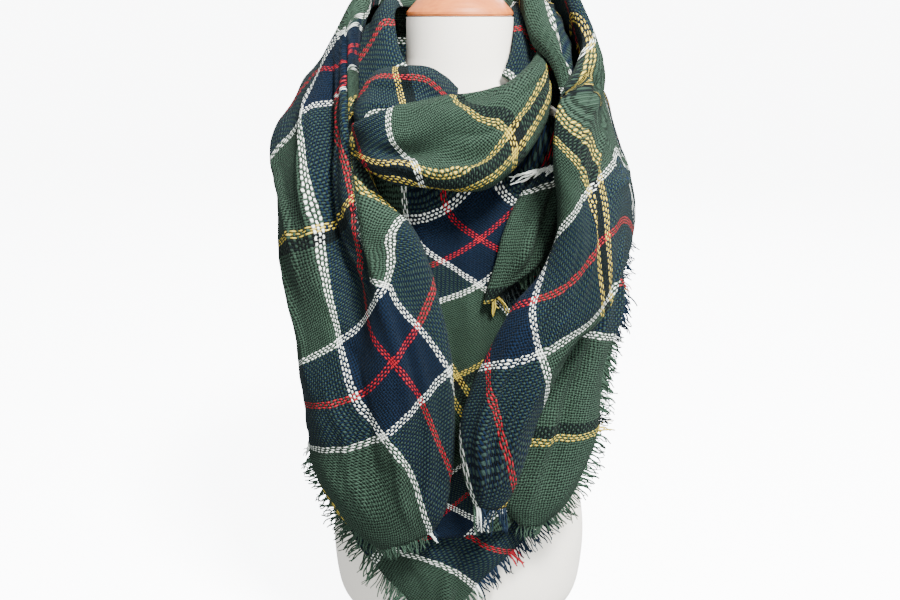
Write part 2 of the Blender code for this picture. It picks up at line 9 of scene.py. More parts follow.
# %% Load the frame
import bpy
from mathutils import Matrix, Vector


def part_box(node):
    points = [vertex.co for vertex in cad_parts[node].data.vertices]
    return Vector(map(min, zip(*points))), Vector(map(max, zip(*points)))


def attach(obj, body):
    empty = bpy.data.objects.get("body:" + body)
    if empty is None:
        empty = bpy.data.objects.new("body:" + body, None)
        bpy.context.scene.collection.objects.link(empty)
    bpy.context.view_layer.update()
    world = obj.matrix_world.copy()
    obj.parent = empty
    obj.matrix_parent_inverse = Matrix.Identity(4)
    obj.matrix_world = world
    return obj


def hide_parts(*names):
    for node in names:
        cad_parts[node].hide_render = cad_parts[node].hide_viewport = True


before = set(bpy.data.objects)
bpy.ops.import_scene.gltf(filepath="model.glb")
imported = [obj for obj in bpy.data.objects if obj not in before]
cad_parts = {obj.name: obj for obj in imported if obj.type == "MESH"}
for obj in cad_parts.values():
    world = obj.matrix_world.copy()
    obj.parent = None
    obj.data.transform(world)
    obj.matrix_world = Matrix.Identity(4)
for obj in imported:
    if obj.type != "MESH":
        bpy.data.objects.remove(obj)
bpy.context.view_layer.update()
print("solid pieces:", len(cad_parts))

# %% Tools of the lesson
import math

import bmesh
import bpy
import numpy as np
from mathutils import Vector
from mathutils.bvhtree import BVHTree

MM = 0.001
scene = bpy.context.scene

# %% [markdown]
# ## The camera
# The picture was taken from a little above the neck, close to the front. A camera could be aimed
# with a constraint, but a place and a tilt written as plain numbers are easier to read and to
# repeat, and the same numbers tell the pattern where each line of the plaid was seen.

# %% The camera
PICTURE_WIDTH, PICTURE_HEIGHT = 900, 600
FOCAL_PIXELS = 994.0
SENSOR = 36.0
EYE = np.array([-0.0105, -1.1, 0.7]) / MM
LOOK_DOWN = math.radians(15.9)

camera_data = bpy.data.cameras.new("view")
camera_data.sensor_width = SENSOR
camera_data.lens = FOCAL_PIXELS / PICTURE_WIDTH * SENSOR
camera_data.clip_start = 0.05
camera = bpy.data.objects.new("view", camera_data)
scene.collection.objects.link(camera)
camera.location = EYE * MM
camera.rotation_euler = (math.pi / 2 - LOOK_DOWN, 0, 0)
scene.camera = camera
print("lens", round(camera_data.lens, 2), "mm")

# %% Where a point of the cloth is seen
def seen_at(points):
    """The picture's x and y of points in millimetres, and how far away they are."""
    ahead = np.array([0, math.cos(LOOK_DOWN), -math.sin(LOOK_DOWN)])
    up = np.array([0, math.sin(LOOK_DOWN), math.cos(LOOK_DOWN)])
    way = points - EYE
    depth = way @ ahead
    x = PICTURE_WIDTH / 2 + FOCAL_PIXELS * way[..., 0] / depth
    y = PICTURE_HEIGHT / 2 - FOCAL_PIXELS * (way @ up) / depth
    return x, y, depth

# %% [markdown]
# ## The sizes that the cloth is laid with
# The solids of the model were laid from a few sizes and short tables. The same sizes and tables
# are written again here, in millimetres, so that each fine shell lies on its solid's form. It
# would also be possible to read the solids' own corners, but a table says how the cloth hangs.

# %% Sizes of the cloth and the form
SOLID_WALL = 3.0  # the thickness of a solid's wall
SHELL = 2.2  # the woven cloth itself
LAYER = 7.5  # from the middle of one stretch to the middle of the next over it, at the least
FORM_GAP = 5.0  # from the form to the middle of the cloth that lies on it, at the least
TOUCH = 0.2  # how much further a point is pushed than it has to be
TRIES = 24  # how many times a point may be pushed
REACH = 90.0  # how far out a layer under the cloth is looked for
NECK_TOP = 700.0
TORSO_CORE = 520.0  # the torso's middle line ends at this height
CORE_SHARE = 0.5  # how far sideways that line reaches, as a share of the cloth's place
FINER = 5  # how many fine quads each coarse one is divided into, each way
TINY = 1e-9  # keeps a division by a length from failing

# The form's outline, one row for each level.
# height, half width, front depth, back depth
FORM_LEVELS = [
    (0.0, 112.0, 78.0, 76.0),
    (9.0, 131.0, 95.0, 92.0),
    (30.0, 145.0, 106.0, 103.0),
    (70.0, 151.0, 111.0, 109.0),
    (115.0, 151.0, 111.0, 108.0),
    (180.0, 141.0, 102.0, 97.0),
    (265.0, 124.0, 88.0, 82.0),
    (340.0, 128.0, 94.0, 84.0),
    (410.0, 141.0, 106.0, 90.0),
    (460.0, 148.0, 109.0, 94.0),
    (510.0, 150.0, 101.0, 93.0),
    (550.0, 146.0, 88.0, 87.0),
    (580.0, 132.0, 78.0, 80.0),
    (600.0, 110.0, 68.0, 72.0),
    (616.0, 88.0, 61.0, 66.0),
    (630.0, 72.0, 57.0, 61.0),
    (650.0, 59.0, 54.5, 56.0),
    (NECK_TOP, 57.0, 54.0, 55.0),
]

# %% [markdown]
# ## How each stretch of cloth hangs
# One row stands for each station along a stretch: its left edge, its right edge, how far it
# stands out between them, and how many degrees it turns round each edge. A smooth curve through
# the stations gives every row of the cloth between them.

# %% The stretches
# left edge x, y, z, right edge x, y, z, crown, turn left, turn right
COLLAR = [
    (-88, -72, 592, -44, -52, 640, 7, 0, 0),
    (-108, -50, 606, -60, -34, 676, 10, 10, 20),
    (-118, 2, 624, -66, 2, 716, 13, 20, 30),
    (-92, 62, 628, -52, 46, 728, 14, 20, 40),
    (0, 92, 622, 0, 66, 731, 14, 20, 40),
    (84, 60, 632, 52, 44, 726, 12, 20, 40),
    (94, 2, 634, 64, 0, 712, 8, 10, 30),
    (88, -46, 618, 60, -34, 672, 8, 10, 20),
    (80, -70, 596, 48, -52, 644, 7, 0, 0),
]

POINT = [
    (-70, -82, 262, 70, -82, 262, 9, -30, -30),
    (-112, -104, 205, 104, -102, 214, 13, -30, -30),
    (-120, -112, 152, 96, -110, 178, 15, -30, -30),
    (-92, -120, 112, 66, -118, 138, 12, -30, -30),
    (-64, -126, 82, 30, -124, 104, 8, -30, -30),
    (-40, -128, 56, 2, -127, 68, 5, -30, -30),
    (-26, -128, 38, -10, -127, 42, 2, -30, -30),
]

FRONT_PANEL = [
    (-78, -84, 586, 102, -58, 592, 14, 0, 0),
    (-94, -100, 548, 120, -76, 552, 18, 0, 0),
    (-98, -110, 490, 98, -106, 490, 18, 0, 0),
    (-92, -114, 400, 90, -112, 400, 16, 0, 0),
    (-84, -118, 300, 82, -116, 300, 16, 0, 0),
    (-82, -124, 220, 76, -122, 220, 15, 0, 0),
    (-80, -127, 172, 62, -125, 180, 14, 0, 0),
    (-74, -129, 154, 52, -128, 164, 12, 0, 0),
    (-70, -124, 150, 48, -123, 160, 12, 0, 0),
    (-70, -118, 158, 48, -117, 168, 12, 0, 0),
]

CORNER_TIP = [
    (82, -132, 556, 122, -122, 566, 5, 10, 0),
    (68, -141, 538, 116, -131, 545, 8, 25, 0),
    (50, -151, 506, 106, -143, 506, 9, 30, 0),
    (39, -157, 468, 92, -151, 470, 9, 30, -30),
    (32, -160, 438, 60, -157, 446, 6, 20, -30),
    (29, -161, 424, 37, -160, 426, 2, 0, -30),
]

LEFT_TAIL = [
    (60, 84, 640, 50, 62, 716, 10, 0, 10),
    (0, 112, 556, 0, 80, 724, 16, 20, 15),
    (-84, 106, 512, -48, 70, 726, 22, 40, 20),
    (-156, 62, 508, -76, 36, 724, 28, 30, 30),
    (-186, -12, 520, -82, 2, 716, 30, 35, 30),
    (-183, -56, 488, -98, -48, 666, 32, 50, 20),
    (-178, -82, 452, -98, -104, 600, 32, 50, 10),
    (-171, -100, 408, -82, -136, 540, 34, 50, 20),
    (-165, -112, 360, -44, -148, 504, 36, 50, 30),
    (-161, -120, 312, -20, -152, 438, 34, 45, 35),
    (-158, -124, 280, -7, -155, 366, 30, 20, 40),
    (-156, -128, 250, -4, -156, 306, 24, -30, 40),
    (-141, -132, 210, -6, -154, 256, 20, -30, 35),
    (-118, -134, 174, -12, -152, 212, 16, -30, 10),
    (-84, -137, 148, -26, -148, 176, 10, -30, -30),
]

ROLL = [
    (-94, -94, 596, -90, -74, 626, 6, -10, -10),
    (-94, -112, 590, -90, -80, 634, 14, 25, 25),
    (-80, -124, 582, -76, -76, 646, 22, 40, 80),
    (-54, -128, 578, -50, -72, 650, 24, 40, 80),
    (-28, -124, 576, -24, -68, 646, 22, 40, 80),
    (-2, -110, 578, -2, -64, 628, 13, 30, 40),
]

SWOOP = [
    (-94, -126, 564, -92, -112, 584, 6, -20, -10),
    (-86, -144, 556, -80, -124, 592, 12, 10, 10),
    (-62, -160, 548, -60, -128, 606, 18, 45, 50),
    (-20, -166, 545, -20, -118, 616, 23, 45, 60),
    (22, -166, 545, 22, -102, 624, 24, 45, 60),
    (54, -156, 564, 50, -84, 636, 22, 45, 60),
    (80, -130, 594, 72, -62, 652, 18, 45, 50),
    (90, -96, 614, 80, -38, 664, 12, 30, 30),
]

NECK_FOLD = [
    (56, 60, 672, 46, 50, 730, 8, 10, 30),
    (78, 26, 668, 57, 16, 730, 11, 20, 50),
    (88, -12, 664, 61, -8, 724, 13, 30, 60),
    (99, -50, 648, 71, -36, 686, 14, 30, 60),
    (108, -92, 622, 90, -76, 650, 13, 20, 20),
    (108, -114, 604, 98, -106, 622, 7, 0, 0),
]

RIGHT_BACK = [
    (112, -84, 446, 172, -60, 440, 5, -30, -30),
    (108, -98, 400, 172, -72, 396, 6, -30, -30),
    (104, -104, 352, 172, -80, 350, 6, -30, -30),
    (100, -106, 306, 162, -88, 306, 6, -30, -30),
    (98, -108, 264, 148, -94, 268, 5, -30, -30),
]

RIGHT_UNDER = [
    (120, -84, 512, 174, -60, 494, 6, 0, -30),
    (118, -108, 462, 173, -80, 446, 8, 0, -30),
    (108, -128, 412, 173, -92, 404, 10, 0, -30),
    (94, -138, 372, 159, -104, 368, 12, 0, -30),
    (70, -142, 326, 150, -112, 322, 13, 0, -30),
    (52, -144, 278, 148, -118, 272, 13, 0, -30),
    (42, -144, 236, 132, -126, 226, 12, -20, -30),
    (46, -143, 202, 113, -132, 190, 10, -30, -30),
    (66, -141, 172, 92, -135, 172, 5, -30, -30),
]

RIGHT_TAIL = [
    (-92, 58, 696, -66, 44, 722, 4, 0, 0),
    (-52, 108, 636, -34, 74, 732, 14, 10, 15),
    (22, 128, 546, 8, 88, 730, 22, 30, 20),
    (102, 106, 506, 58, 66, 728, 27, 40, 30),
    (150, 48, 504, 76, 30, 728, 28, 50, 50),
    (162, -24, 514, 84, -4, 718, 26, 50, 55),
    (164, -60, 484, 99, -60, 670, 26, 50, 50),
    (161, -88, 462, 78, -140, 626, 28, 50, 60),
    (155, -112, 446, 82, -160, 572, 28, 50, 60),
    (146, -132, 430, 93, -168, 518, 24, 50, 60),
    (134, -144, 410, 82, -174, 468, 22, 50, 60),
    (116, -154, 392, 52, -178, 430, 22, 50, 50),
    (99, -161, 362, 30, -178, 388, 22, 50, 40),
    (86, -165, 330, 12, -176, 346, 22, 50, 30),
    (74, -168, 296, 0, -174, 302, 20, 50, 20),
    (62, -168, 254, 4, -172, 252, 16, 40, 0),
    (47, -166, 212, 14, -168, 214, 9, 10, -30),
]

# %% [markdown]
# ## The largest folds
# These are the folds that the solids have too. Each one runs along its stretch, from one place
# across to another, and is a trough below 0 or a ridge above it.

# %% The largest folds
# start along, end along, place across at the start, at the end, spread before, spread after,
# all six in hundredths of the stretch, and height in mm
FOLDS = {
    "collar": [
        (5, 95, 45, 50, 14, 14, 5),
    ],
    "front_panel": [
        (5, 75, 28, 40, 10, 12, 6), (10, 70, 68, 58, 12, 10, 6),
    ],
    "point": [
        (35, 100, 30, 62, 7, 10, 6), (10, 70, 72, 60, 10, 10, -6),
    ],
    "corner_tip": [
        (5, 80, 34, 40, 12, 12, 5),
    ],
    "left_tail": [
        (36, 78, 86, 42, 9, 14, -26), (2, 46, 24, 26, 10, 12, 14), (4, 40, 44, 48, 12, 10, 10),
        (2, 36, 80, 74, 10, 10, 3), (58, 98, 12, 22, 9, 11, 6), (60, 96, 66, 62, 12, 14, 8),
    ],
    "roll": [
        (10, 95, 46, 54, 7, 7, -8), (15, 90, 72, 78, 10, 10, 5),
    ],
    "swoop": [
        (8, 66, 42, 26, 10, 8, -18), (20, 110, 72, 62, 12, 12, 7), (40, 110, 16, 24, 9, 8, 6),
    ],
    "neck_fold": [
        (10, 90, 34, 40, 14, 14, 5),
    ],
    "right_back": [
        (5, 95, 72, 66, 12, 12, 4),
    ],
    "right_under": [
        (10, 90, 34, 28, 10, 12, 6), (30, 100, 72, 66, 10, 12, 7),
    ],
    "right_tail": [
        (2, 42, 24, 28, 10, 12, 16), (4, 44, 44, 44, 12, 10, 13), (3, 38, 80, 76, 10, 10, 4),
        (42, 80, 30, 44, 12, 10, 8), (42, 62, 84, 80, 10, 8, 7), (56, 98, 24, 30, 12, 12, 6),
        (66, 100, 76, 70, 10, 12, 6),
    ],
}


# %% [markdown]
# ## Laying the cloth
# Each section across a stretch is part of a flat ellipse, so that the cloth rounds away at its
# edges and can turn underneath. The sections are set along the stations, and then every point
# moves outwards until it clears the layers under it. A physics simulation could drape the cloth
# instead, but it would not settle into this one arrangement of folds.

# %% Curves
def smooth_step(t):
    """0 below 0, 1 above 1, and a soft slope between them."""
    t = np.clip(t, 0.0, 1.0)
    return t * t * (3.0 - 2.0 * t)


def through(rows, places):
    """The rows' values at places counted in rows, on one smooth curve through all of them."""
    rows = np.asarray(rows, float)
    last = len(rows) - 1
    padded = np.vstack([2 * rows[0] - rows[1], rows, 2 * rows[last] - rows[last - 1]])
    first = np.clip(np.floor(places).astype(int), 0, last - 1)
    t = (places - first)[:, None]
    a, b, c, d = (padded[first + k] for k in range(4))
    return 0.5 * (2 * b + (c - a) * t + (2 * a - 5 * b + 4 * c - d) * t**2
                  + (3 * b - a - 3 * c + d) * t**3)


def evenly(points, count):
    """Where count + 1 points lie on a line of points, evenly by length, counted in points."""
    steps = np.linalg.norm(np.diff(points, axis=0), axis=1)
    run = np.concatenate([[0.0], np.cumsum(steps)])
    return np.interp(np.linspace(0.0, run[-1], count + 1), run, np.arange(len(run)))


# %% Sections across the cloth
SECTION_POINTS = 121
WINDOW_END = math.radians(95)  # folds have faded out where a section has turned this far
WINDOW_FADE = math.radians(30)


def section(half, crown, turn_left, turn_right, count):
    """One cross-section, point by point: across, out, place on the front, and room for folds.

    It is part of a flat ellipse, so the cloth rounds away at its edges, and a positive turn
    carries it on past the edge and back underneath.
    """
    angle = np.linspace(-math.radians(90 + turn_left), math.radians(90 + turn_right),
                        SECTION_POINTS)
    across = np.sin(angle)
    out = np.cos(angle)
    for side, turn in ((angle < 0, turn_left), (angle > 0, turn_right)):
        if turn < 0:
            end = math.radians(90 + turn)
            across[side] = across[side] / math.sin(end)
            out[side] = (out[side] - math.cos(end)) / (1 - math.cos(end))
    line = np.column_stack([half * across, crown * out])
    places = evenly(line, count)
    steps = np.arange(len(angle))
    columns = [np.interp(places, steps, values) for values in (line[:, 0], line[:, 1], angle)]
    front = 0.5 * (1 + np.sin(np.clip(columns[2], -math.pi / 2, math.pi / 2)))
    window = smooth_step((WINDOW_END - np.abs(columns[2])) / WINDOW_FADE)
    return columns[0], columns[1], front, window

# %% Laying a stretch over the others
FOLD_FADE = 0.28  # a fold's share of its own length that it fades out over, at each end
FINE_STEPS = 40  # how many points stand for one station while rows are spaced evenly


def fold_heights(folds, along, front):
    """How far the folds raise a section at this share of the length, or sink it below 0."""
    total = np.zeros_like(front)
    for *shares, height in folds:
        start, end, first, last, before, after = (share / 100 for share in shares)
        if not start < along < end:
            continue
        t = (along - start) / (end - start)
        strength = smooth_step(min(t, 1 - t) / FOLD_FADE)
        centre = first + (last - first) * t
        spread = np.where(front < centre, before, after)
        total += height * strength * np.exp(-(((front - centre) / spread) ** 2))
    return total


def lay(name, stations, rows, columns):
    """A grid of points for a stretch, each one's way out, its ridges' height and place across."""
    troughs = [fold for fold in FOLDS.get(name, []) if fold[-1] < 0]
    ridges = [fold for fold in FOLDS.get(name, []) if fold[-1] > 0]
    stations = np.asarray(stations, float)
    fine = np.linspace(0, len(stations) - 1, FINE_STEPS * len(stations))
    path = through(stations, fine)
    middle = 0.5 * (path[:, 0:3] + path[:, 3:6])
    lines = through(stations, np.interp(evenly(middle, rows), np.arange(len(fine)), fine))
    grid = np.zeros((rows + 1, columns + 1, 3))
    ways = np.zeros_like(grid)
    raised = np.zeros((rows + 1, columns + 1))
    fronts = np.zeros_like(raised)
    for k, line in enumerate(lines):
        left, right = line[0:3], line[3:6]
        centre = 0.5 * (left + right)
        width = (right - left) / np.linalg.norm(right - left)
        core = np.array([CORE_SHARE * centre[0], 0.0, min(centre[2], TORSO_CORE)])
        away = centre - core
        away -= width * (away @ width)
        away /= np.linalg.norm(away)
        half = 0.5 * np.linalg.norm(right - left)
        across, out, front, window = section(half, line[6], line[7], line[8], columns)
        out = out + window * fold_heights(troughs, k / rows, front)
        grid[k] = centre + np.outer(across, width) + np.outer(out, away)
        ways[k] = away
        raised[k] = window * fold_heights(ridges, k / rows, front)
        fronts[k] = front
    return grid, ways, raised, fronts


def spread_out(push):
    """The pushes widened and softened over the grid, and nowhere less than they were."""
    wide = push.copy()
    for step in [np.max] * 2 + [np.mean] * 4:
        padded = np.pad(wide, 1, mode="edge")
        wide = step([padded[i:i + push.shape[0], j:j + push.shape[1]]
                     for i in range(3) for j in range(3)], axis=0)
    return np.maximum(push, wide)


# %% Clearing the layers under a stretch
def faces_of(grid, base=0):
    """The corners of each face of a grid whose points are counted from base."""
    rows, columns = grid.shape[:2]
    return [tuple(base + i * columns + j + k for k in (0, 1, columns + 1, columns))
            for i in range(rows - 1) for j in range(columns - 1)]


def tree_of(grid):
    """A search tree over a grid's faces."""
    return BVHTree.FromPolygons([tuple(p) for p in grid.reshape(-1, 3)], faces_of(grid))


def lift(grid, ways, raised, under):
    """The grid moved outwards until it clears each layer under it, with its ridges raised.

    under has a search tree and the clearance for each layer.
    """
    push = np.zeros(grid.shape[:2])
    for i in range(grid.shape[0]):
        for j in range(grid.shape[1]):
            start, way = Vector(grid[i, j]), Vector(ways[i, j])
            moved = 0.0
            for _ in range(TRIES):
                step = 0.0
                for tree, clearance in under:
                    spot = start + way * moved
                    hit, _, _, distance = tree.ray_cast(spot, way, REACH - moved)
                    if hit is not None:
                        step = max(step, distance + clearance)
                    near, _, _, distance = tree.find_nearest(spot, clearance)
                    if near is not None:
                        step = max(step, clearance - distance + TOUCH)
                if step == 0.0:
                    break
                moved += step
            push[i, j] = moved
    return grid + ways * (spread_out(push) + raised)[:, :, None]


def unit(vectors):
    """Vectors made one long."""
    return vectors / np.maximum(np.linalg.norm(vectors, axis=-1, keepdims=True), TINY)


def normals_of(grid, ways):
    """Unit normals of a grid's points, on the side that its ways out point to."""
    normal = unit(np.cross(np.gradient(grid, axis=0), np.gradient(grid, axis=1)))
    middle = grid.shape[1] // 2
    side = np.sign(np.sum(normal[:, middle] * ways[:, middle]))
    return normal * side

# %% Seating the grid where its solid is
def corners_of(name):
    """The lowest and highest corner of a solid, in millimetres."""
    low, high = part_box(name)
    return np.array(low) / MM, np.array(high) / MM


def seated(name, grid, ways):
    """The grid moved as a whole to where its solid was seated."""
    offset = normals_of(grid, ways) * SOLID_WALL / 2
    wall = np.concatenate([grid + offset, grid - offset]).reshape(-1, 3)
    low, high = corners_of(name)
    move = 0.5 * (low - wall.min(axis=0) + high - wall.max(axis=0))
    left_over = np.abs(low - wall.min(axis=0) - move).max()
    print(name, "moved", np.round(move, 2), f"and is within {left_over:.3f} mm")
    return grid + move


def solid_tree(name):
    """A search tree over a solid of the model, in millimetres."""
    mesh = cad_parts[name].data
    points = [v.co / MM for v in mesh.vertices]
    return BVHTree.FromPolygons(points, [tuple(face.vertices) for face in mesh.polygons])


# %% Lay every stretch, from the form outwards
# stretch, stations, rows, columns, layers under it
STRETCHES = [
    ("collar", COLLAR, 26, 6, []),
    ("point", POINT, 14, 10, []),
    ("front_panel", FRONT_PANEL, 24, 10, ["collar", "point"]),
    ("corner_tip", CORNER_TIP, 10, 6, ["front_panel"]),
    ("left_tail", LEFT_TAIL, 36, 18, ["collar", "point", "front_panel"]),
    ("roll", ROLL, 13, 9, ["collar", "front_panel", "left_tail"]),
    ("swoop", SWOOP, 20, 12, ["collar", "front_panel", "corner_tip", "left_tail", "roll"]),
    ("neck_fold", NECK_FOLD, 14, 6, ["collar", "left_tail", "swoop"]),
    ("right_back", RIGHT_BACK, 7, 4, []),
    ("right_under", RIGHT_UNDER, 18, 8, ["point", "front_panel", "right_back"]),
    ("right_tail", RIGHT_TAIL, 38, 16,
     ["collar", "point", "front_panel", "corner_tip", "left_tail", "roll", "swoop", "neck_fold",
      "right_back", "right_under"]),
]
FORM_TREE = solid_tree("dress_form")

laid = {}
for name, stations, rows, columns, under in STRETCHES:
    grid, ways, raised, fronts = lay(name, stations, rows, columns)
    layers = [(FORM_TREE, FORM_GAP)] + [(laid[other]["tree"], LAYER) for other in under]
    grid = seated(name, lift(grid, ways, raised, layers), ways)
    laid[name] = {"grid": grid, "ways": ways, "fronts": fronts, "tree": tree_of(grid)}

# %% [markdown]
# ## A finer grid
# The solids have a point every 10 to 15 mm, which is too coarse for creases. The same smooth
# curve that ran through the stations runs through each row and column of the grid, and points
# are read from it closer together. A Subdivision Surface would round the form too, but it would
# also draw the edges in, away from the solid.

# %% Finer grids
def finer(grid, times):
    """The grid with that many steps for each one, both ways, on smooth curves."""
    rows, columns, depth = grid.shape
    places = np.linspace(0, rows - 1, (rows - 1) * times + 1)
    tall = through(grid.reshape(rows, -1), places).reshape(-1, columns, depth)
    places = np.linspace(0, columns - 1, (columns - 1) * times + 1)
    turned = tall.transpose(1, 0, 2).reshape(columns, -1)
    return through(turned, places).reshape(len(places), -1, depth).transpose(1, 0, 2)


for name, cloth in laid.items():
    cloth["fine"] = finer(cloth["grid"], FINER)
    cloth["fine_ways"] = finer(cloth["ways"], FINER)
    cloth["fine_fronts"] = np.clip(finer(cloth["fronts"][:, :, None], FINER)[:, :, 0], 0, 1)
print("fine points:", sum(cloth["fine_fronts"].size for cloth in laid.values()))

# %% [markdown]
# ## Creases
# Soft wool-like cloth falls in rounded creases, deeper where it is bunched and fading out along
# their length. Each one is listed: where it starts and ends along the stretch, where it
# lies across it, how wide it is and how high. Below 0 it is a trough. The sides that the picture
# doesn't show have creases of the same kind. No crease goes further than the next layer leaves
# room for.

# %% The creases
# start along, end along, place across at the start, at the end, all four in hundredths of the
# stretch, then width in mm and height in mm
CREASES = {
    "collar": [
        (2, 40, 30, 55, 16, 3.0), (10, 55, 72, 62, 12, -2.5), (45, 95, 35, 52, 15, 3.0),
        (60, 100, 75, 60, 11, -2.5),
    ],
    "point": [
        (20, 100, 42, 60, 9, 3.0), (25, 95, 20, 40, 14, 2.5), (30, 90, 78, 60, 12, 2.5),
        (40, 100, 60, 72, 8, -1.8),
    ],
    "front_panel": [
        (0, 60, 45, 62, 16, 3.5), (2, 50, 72, 80, 13, 3.0), (25, 90, 40, 52, 12, -2.5),
        (40, 95, 58, 46, 15, 3.5), (55, 98, 70, 62, 12, 3.0), (78, 99, 30, 20, 14, 3.0),
    ],
    "corner_tip": [
        (0, 85, 40, 50, 11, 3.0), (5, 70, 66, 60, 8, -2.0), (20, 95, 82, 70, 9, 2.0),
    ],
    "left_tail": [
        (0, 34, 30, 34, 14, 5.0), (2, 30, 62, 60, 13, 4.5), (5, 40, 12, 10, 15, 4.5),
        (3, 28, 90, 86, 12, 4.0), (10, 36, 76, 66, 10, -3.5), (8, 38, 22, 24, 10, -3.5),
        (30, 62, 20, 30, 16, 4.0), (34, 60, 62, 46, 12, 3.5), (36, 70, 90, 62, 10, 4.0),
        (42, 74, 6, 16, 14, 3.5), (55, 86, 80, 70, 13, 4.0), (60, 95, 40, 52, 12, -2.5),
        (66, 100, 86, 82, 12, 3.0), (68, 98, 24, 36, 15, 3.0), (80, 100, 60, 66, 10, 2.5),
    ],
    "roll": [
        (5, 70, 62, 70, 9, 3.0), (20, 95, 84, 88, 8, -2.0), (10, 80, 30, 36, 10, 2.5),
    ],
    "swoop": [
        (10, 60, 18, 8, 9, 3.0), (30, 95, 50, 40, 10, -2.5), (45, 100, 82, 74, 10, 3.5),
        (55, 100, 30, 34, 9, 3.0), (20, 75, 86, 92, 10, 2.5), (62, 100, 60, 56, 7, -2.5),
    ],
    "neck_fold": [
        (25, 85, 10, 12, 14, 8.0), (5, 80, 60, 55, 9, 3.0), (30, 100, 28, 34, 8, -2.0),
        (45, 100, 74, 66, 9, 2.5),
    ],
    "right_back": [
        (5, 100, 45, 52, 12, 2.5), (20, 95, 82, 76, 10, -2.0),
    ],
    "right_under": [
        (5, 55, 55, 62, 12, 3.0), (30, 95, 48, 54, 11, -2.5), (40, 100, 86, 80, 13, 3.0),
        (55, 100, 36, 42, 10, 2.5), (10, 50, 86, 90, 9, 2.5),
    ],
    "right_tail": [
        (0, 36, 32, 34, 14, 5.0), (4, 34, 64, 62, 13, 4.5), (2, 40, 10, 12, 15, 4.5),
        (5, 30, 90, 88, 14, 2.0), (10, 38, 76, 70, 12, -1.0), (12, 40, 22, 24, 10, -3.5),
        (40, 58, 18, 44, 11, 4.0), (42, 66, 66, 52, 12, 3.5), (44, 64, 88, 72, 10, -3.0),
        (50, 82, 14, 22, 14, 3.5), (56, 88, 60, 46, 13, 3.5), (62, 90, 80, 66, 10, -2.5),
        (70, 100, 90, 70, 12, 3.5), (74, 100, 40, 48, 11, 3.0),
    ],
}

# %% What the creases may do
DEEPER = 1.35  # how much stronger the creases are than their table says
CREASE_FADE = 0.35  # a crease's share of its own length that it fades out over, at each end
CREASE_SPREAD = 0.6  # how far a crease reaches to each side, as a share of its width
RIPPLES = (26, 34, 45, 60, 80)  # the lengths of the waves in the cloth's unevenness
RIPPLE_HEIGHT = 0.35
MOST_RISE = 8.0  # how far a crease may move the cloth
KEEP_CLEAR = 2.7  # from the middle of one shell to the next layer's middle, at the least


def crease_heights(creases, fronts, steps_across):
    """How far the creases lift each point of a grid, or sink it below 0."""
    total = np.zeros_like(fronts)
    alongs = np.linspace(0, 1, fronts.shape[0])
    for *shares, width, height in creases:
        start, end, first, last = (share / 100 for share in shares)
        t = (alongs - start) / (end - start)
        strength = smooth_step(np.minimum(t, 1 - t) / CREASE_FADE) * (t > 0) * (t < 1)
        wander = 0.02 * np.sin(9 * t + 40 * first)
        centre = first + (last - first) * t + wander
        away = (fronts - centre[:, None]) * steps_across[:, None]
        shape = np.exp(-((away / (CREASE_SPREAD * width)) ** 2))
        total += DEEPER * height * strength[:, None] * shape
    return total


def ripple(down, across, seed):
    """A low unevenness of the cloth, made of a few long waves laid across each other."""
    rng = np.random.default_rng(seed)
    total = np.zeros_like(down)
    for length in RIPPLES:
        heading = rng.uniform(0, math.pi)
        phase = rng.uniform(0, 2 * math.pi)
        run = down * math.cos(heading) + across * math.sin(heading)
        total += length / RIPPLES[-1] * np.sin(2 * math.pi / length * run + phase)
    return RIPPLE_HEIGHT * total


def lengths_of(grid):
    """How far each point of a grid is down the cloth and across it, measured on the cloth."""
    down = np.zeros(grid.shape[:2])
    across = np.zeros(grid.shape[:2])
    down[1:] = np.cumsum(np.linalg.norm(np.diff(grid, axis=0), axis=2), axis=0)
    across[:, 1:] = np.cumsum(np.linalg.norm(np.diff(grid, axis=1), axis=2), axis=1)
    down = np.repeat(down.mean(axis=1, keepdims=True), grid.shape[1], axis=1)
    across -= across[:, -1:] / 2
    return down, across


def neighbours_tree(name):
    """A search tree over everything that the stretch must stay clear of."""
    points = [tuple(v.co / MM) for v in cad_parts["dress_form"].data.vertices]
    faces = [tuple(face.vertices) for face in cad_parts["dress_form"].data.polygons]
    for other, cloth in laid.items():
        if other == name:
            continue
        faces += faces_of(cloth["grid"], len(points))
        points += [tuple(p) for p in cloth["grid"].reshape(-1, 3)]
    return BVHTree.FromPolygons(points, faces)


def room_for(points, way, tree, most):
    """How far each point may move that way before it comes too near to something."""
    room = np.full(points.shape[:2], float(most))
    for i in range(points.shape[0]):
        for j in range(points.shape[1]):
            hit = tree.ray_cast(Vector(points[i, j]), Vector(way[i, j]), most + KEEP_CLEAR)
            if hit[0] is not None:
                room[i, j] = max(0.0, hit[3] - KEEP_CLEAR)
    return room


# %% Cloth that is hidden in closed folds
# The shell passes over a deep, closed fold, which shows as a narrow trough, and the pattern jumps
# there by as much as is hidden.
# way across the fold: picture x, picture y, hidden cloth in mm, for some spots along it
TUCKS = {
    "left_tail": [("across", [
        (344, 60, 60), (347, 100, 130), (351, 150, 150), (354, 200, 125), (361, 245, 85),
        (364, 262, 62), (367, 275, 40), (370, 290, 15), (372, 305, 0),
    ])],
    "right_tail": [("down", [
        (541, 100, 75), (560, 93, 75), (580, 83, 75), (590, 71, 75),
    ])],
}
TUCK_WIDTH = 3.0  # how far across the fold the pattern takes to jump
TROUGH_WIDTH = 4.5
TROUGH_DEPTH = 6.0
TROUGH_ENDS = 20.0  # how far the trough goes on past its last spots
FULL_TROUGH = 50.0  # a fold that hides this much cloth has a trough of the full depth
BEHIND = 0.2  # how many pixels nearer a point must be for each mm that it lies further away
TURNED_AWAY = 30.0  # how many pixels nearer it must be if it faces away


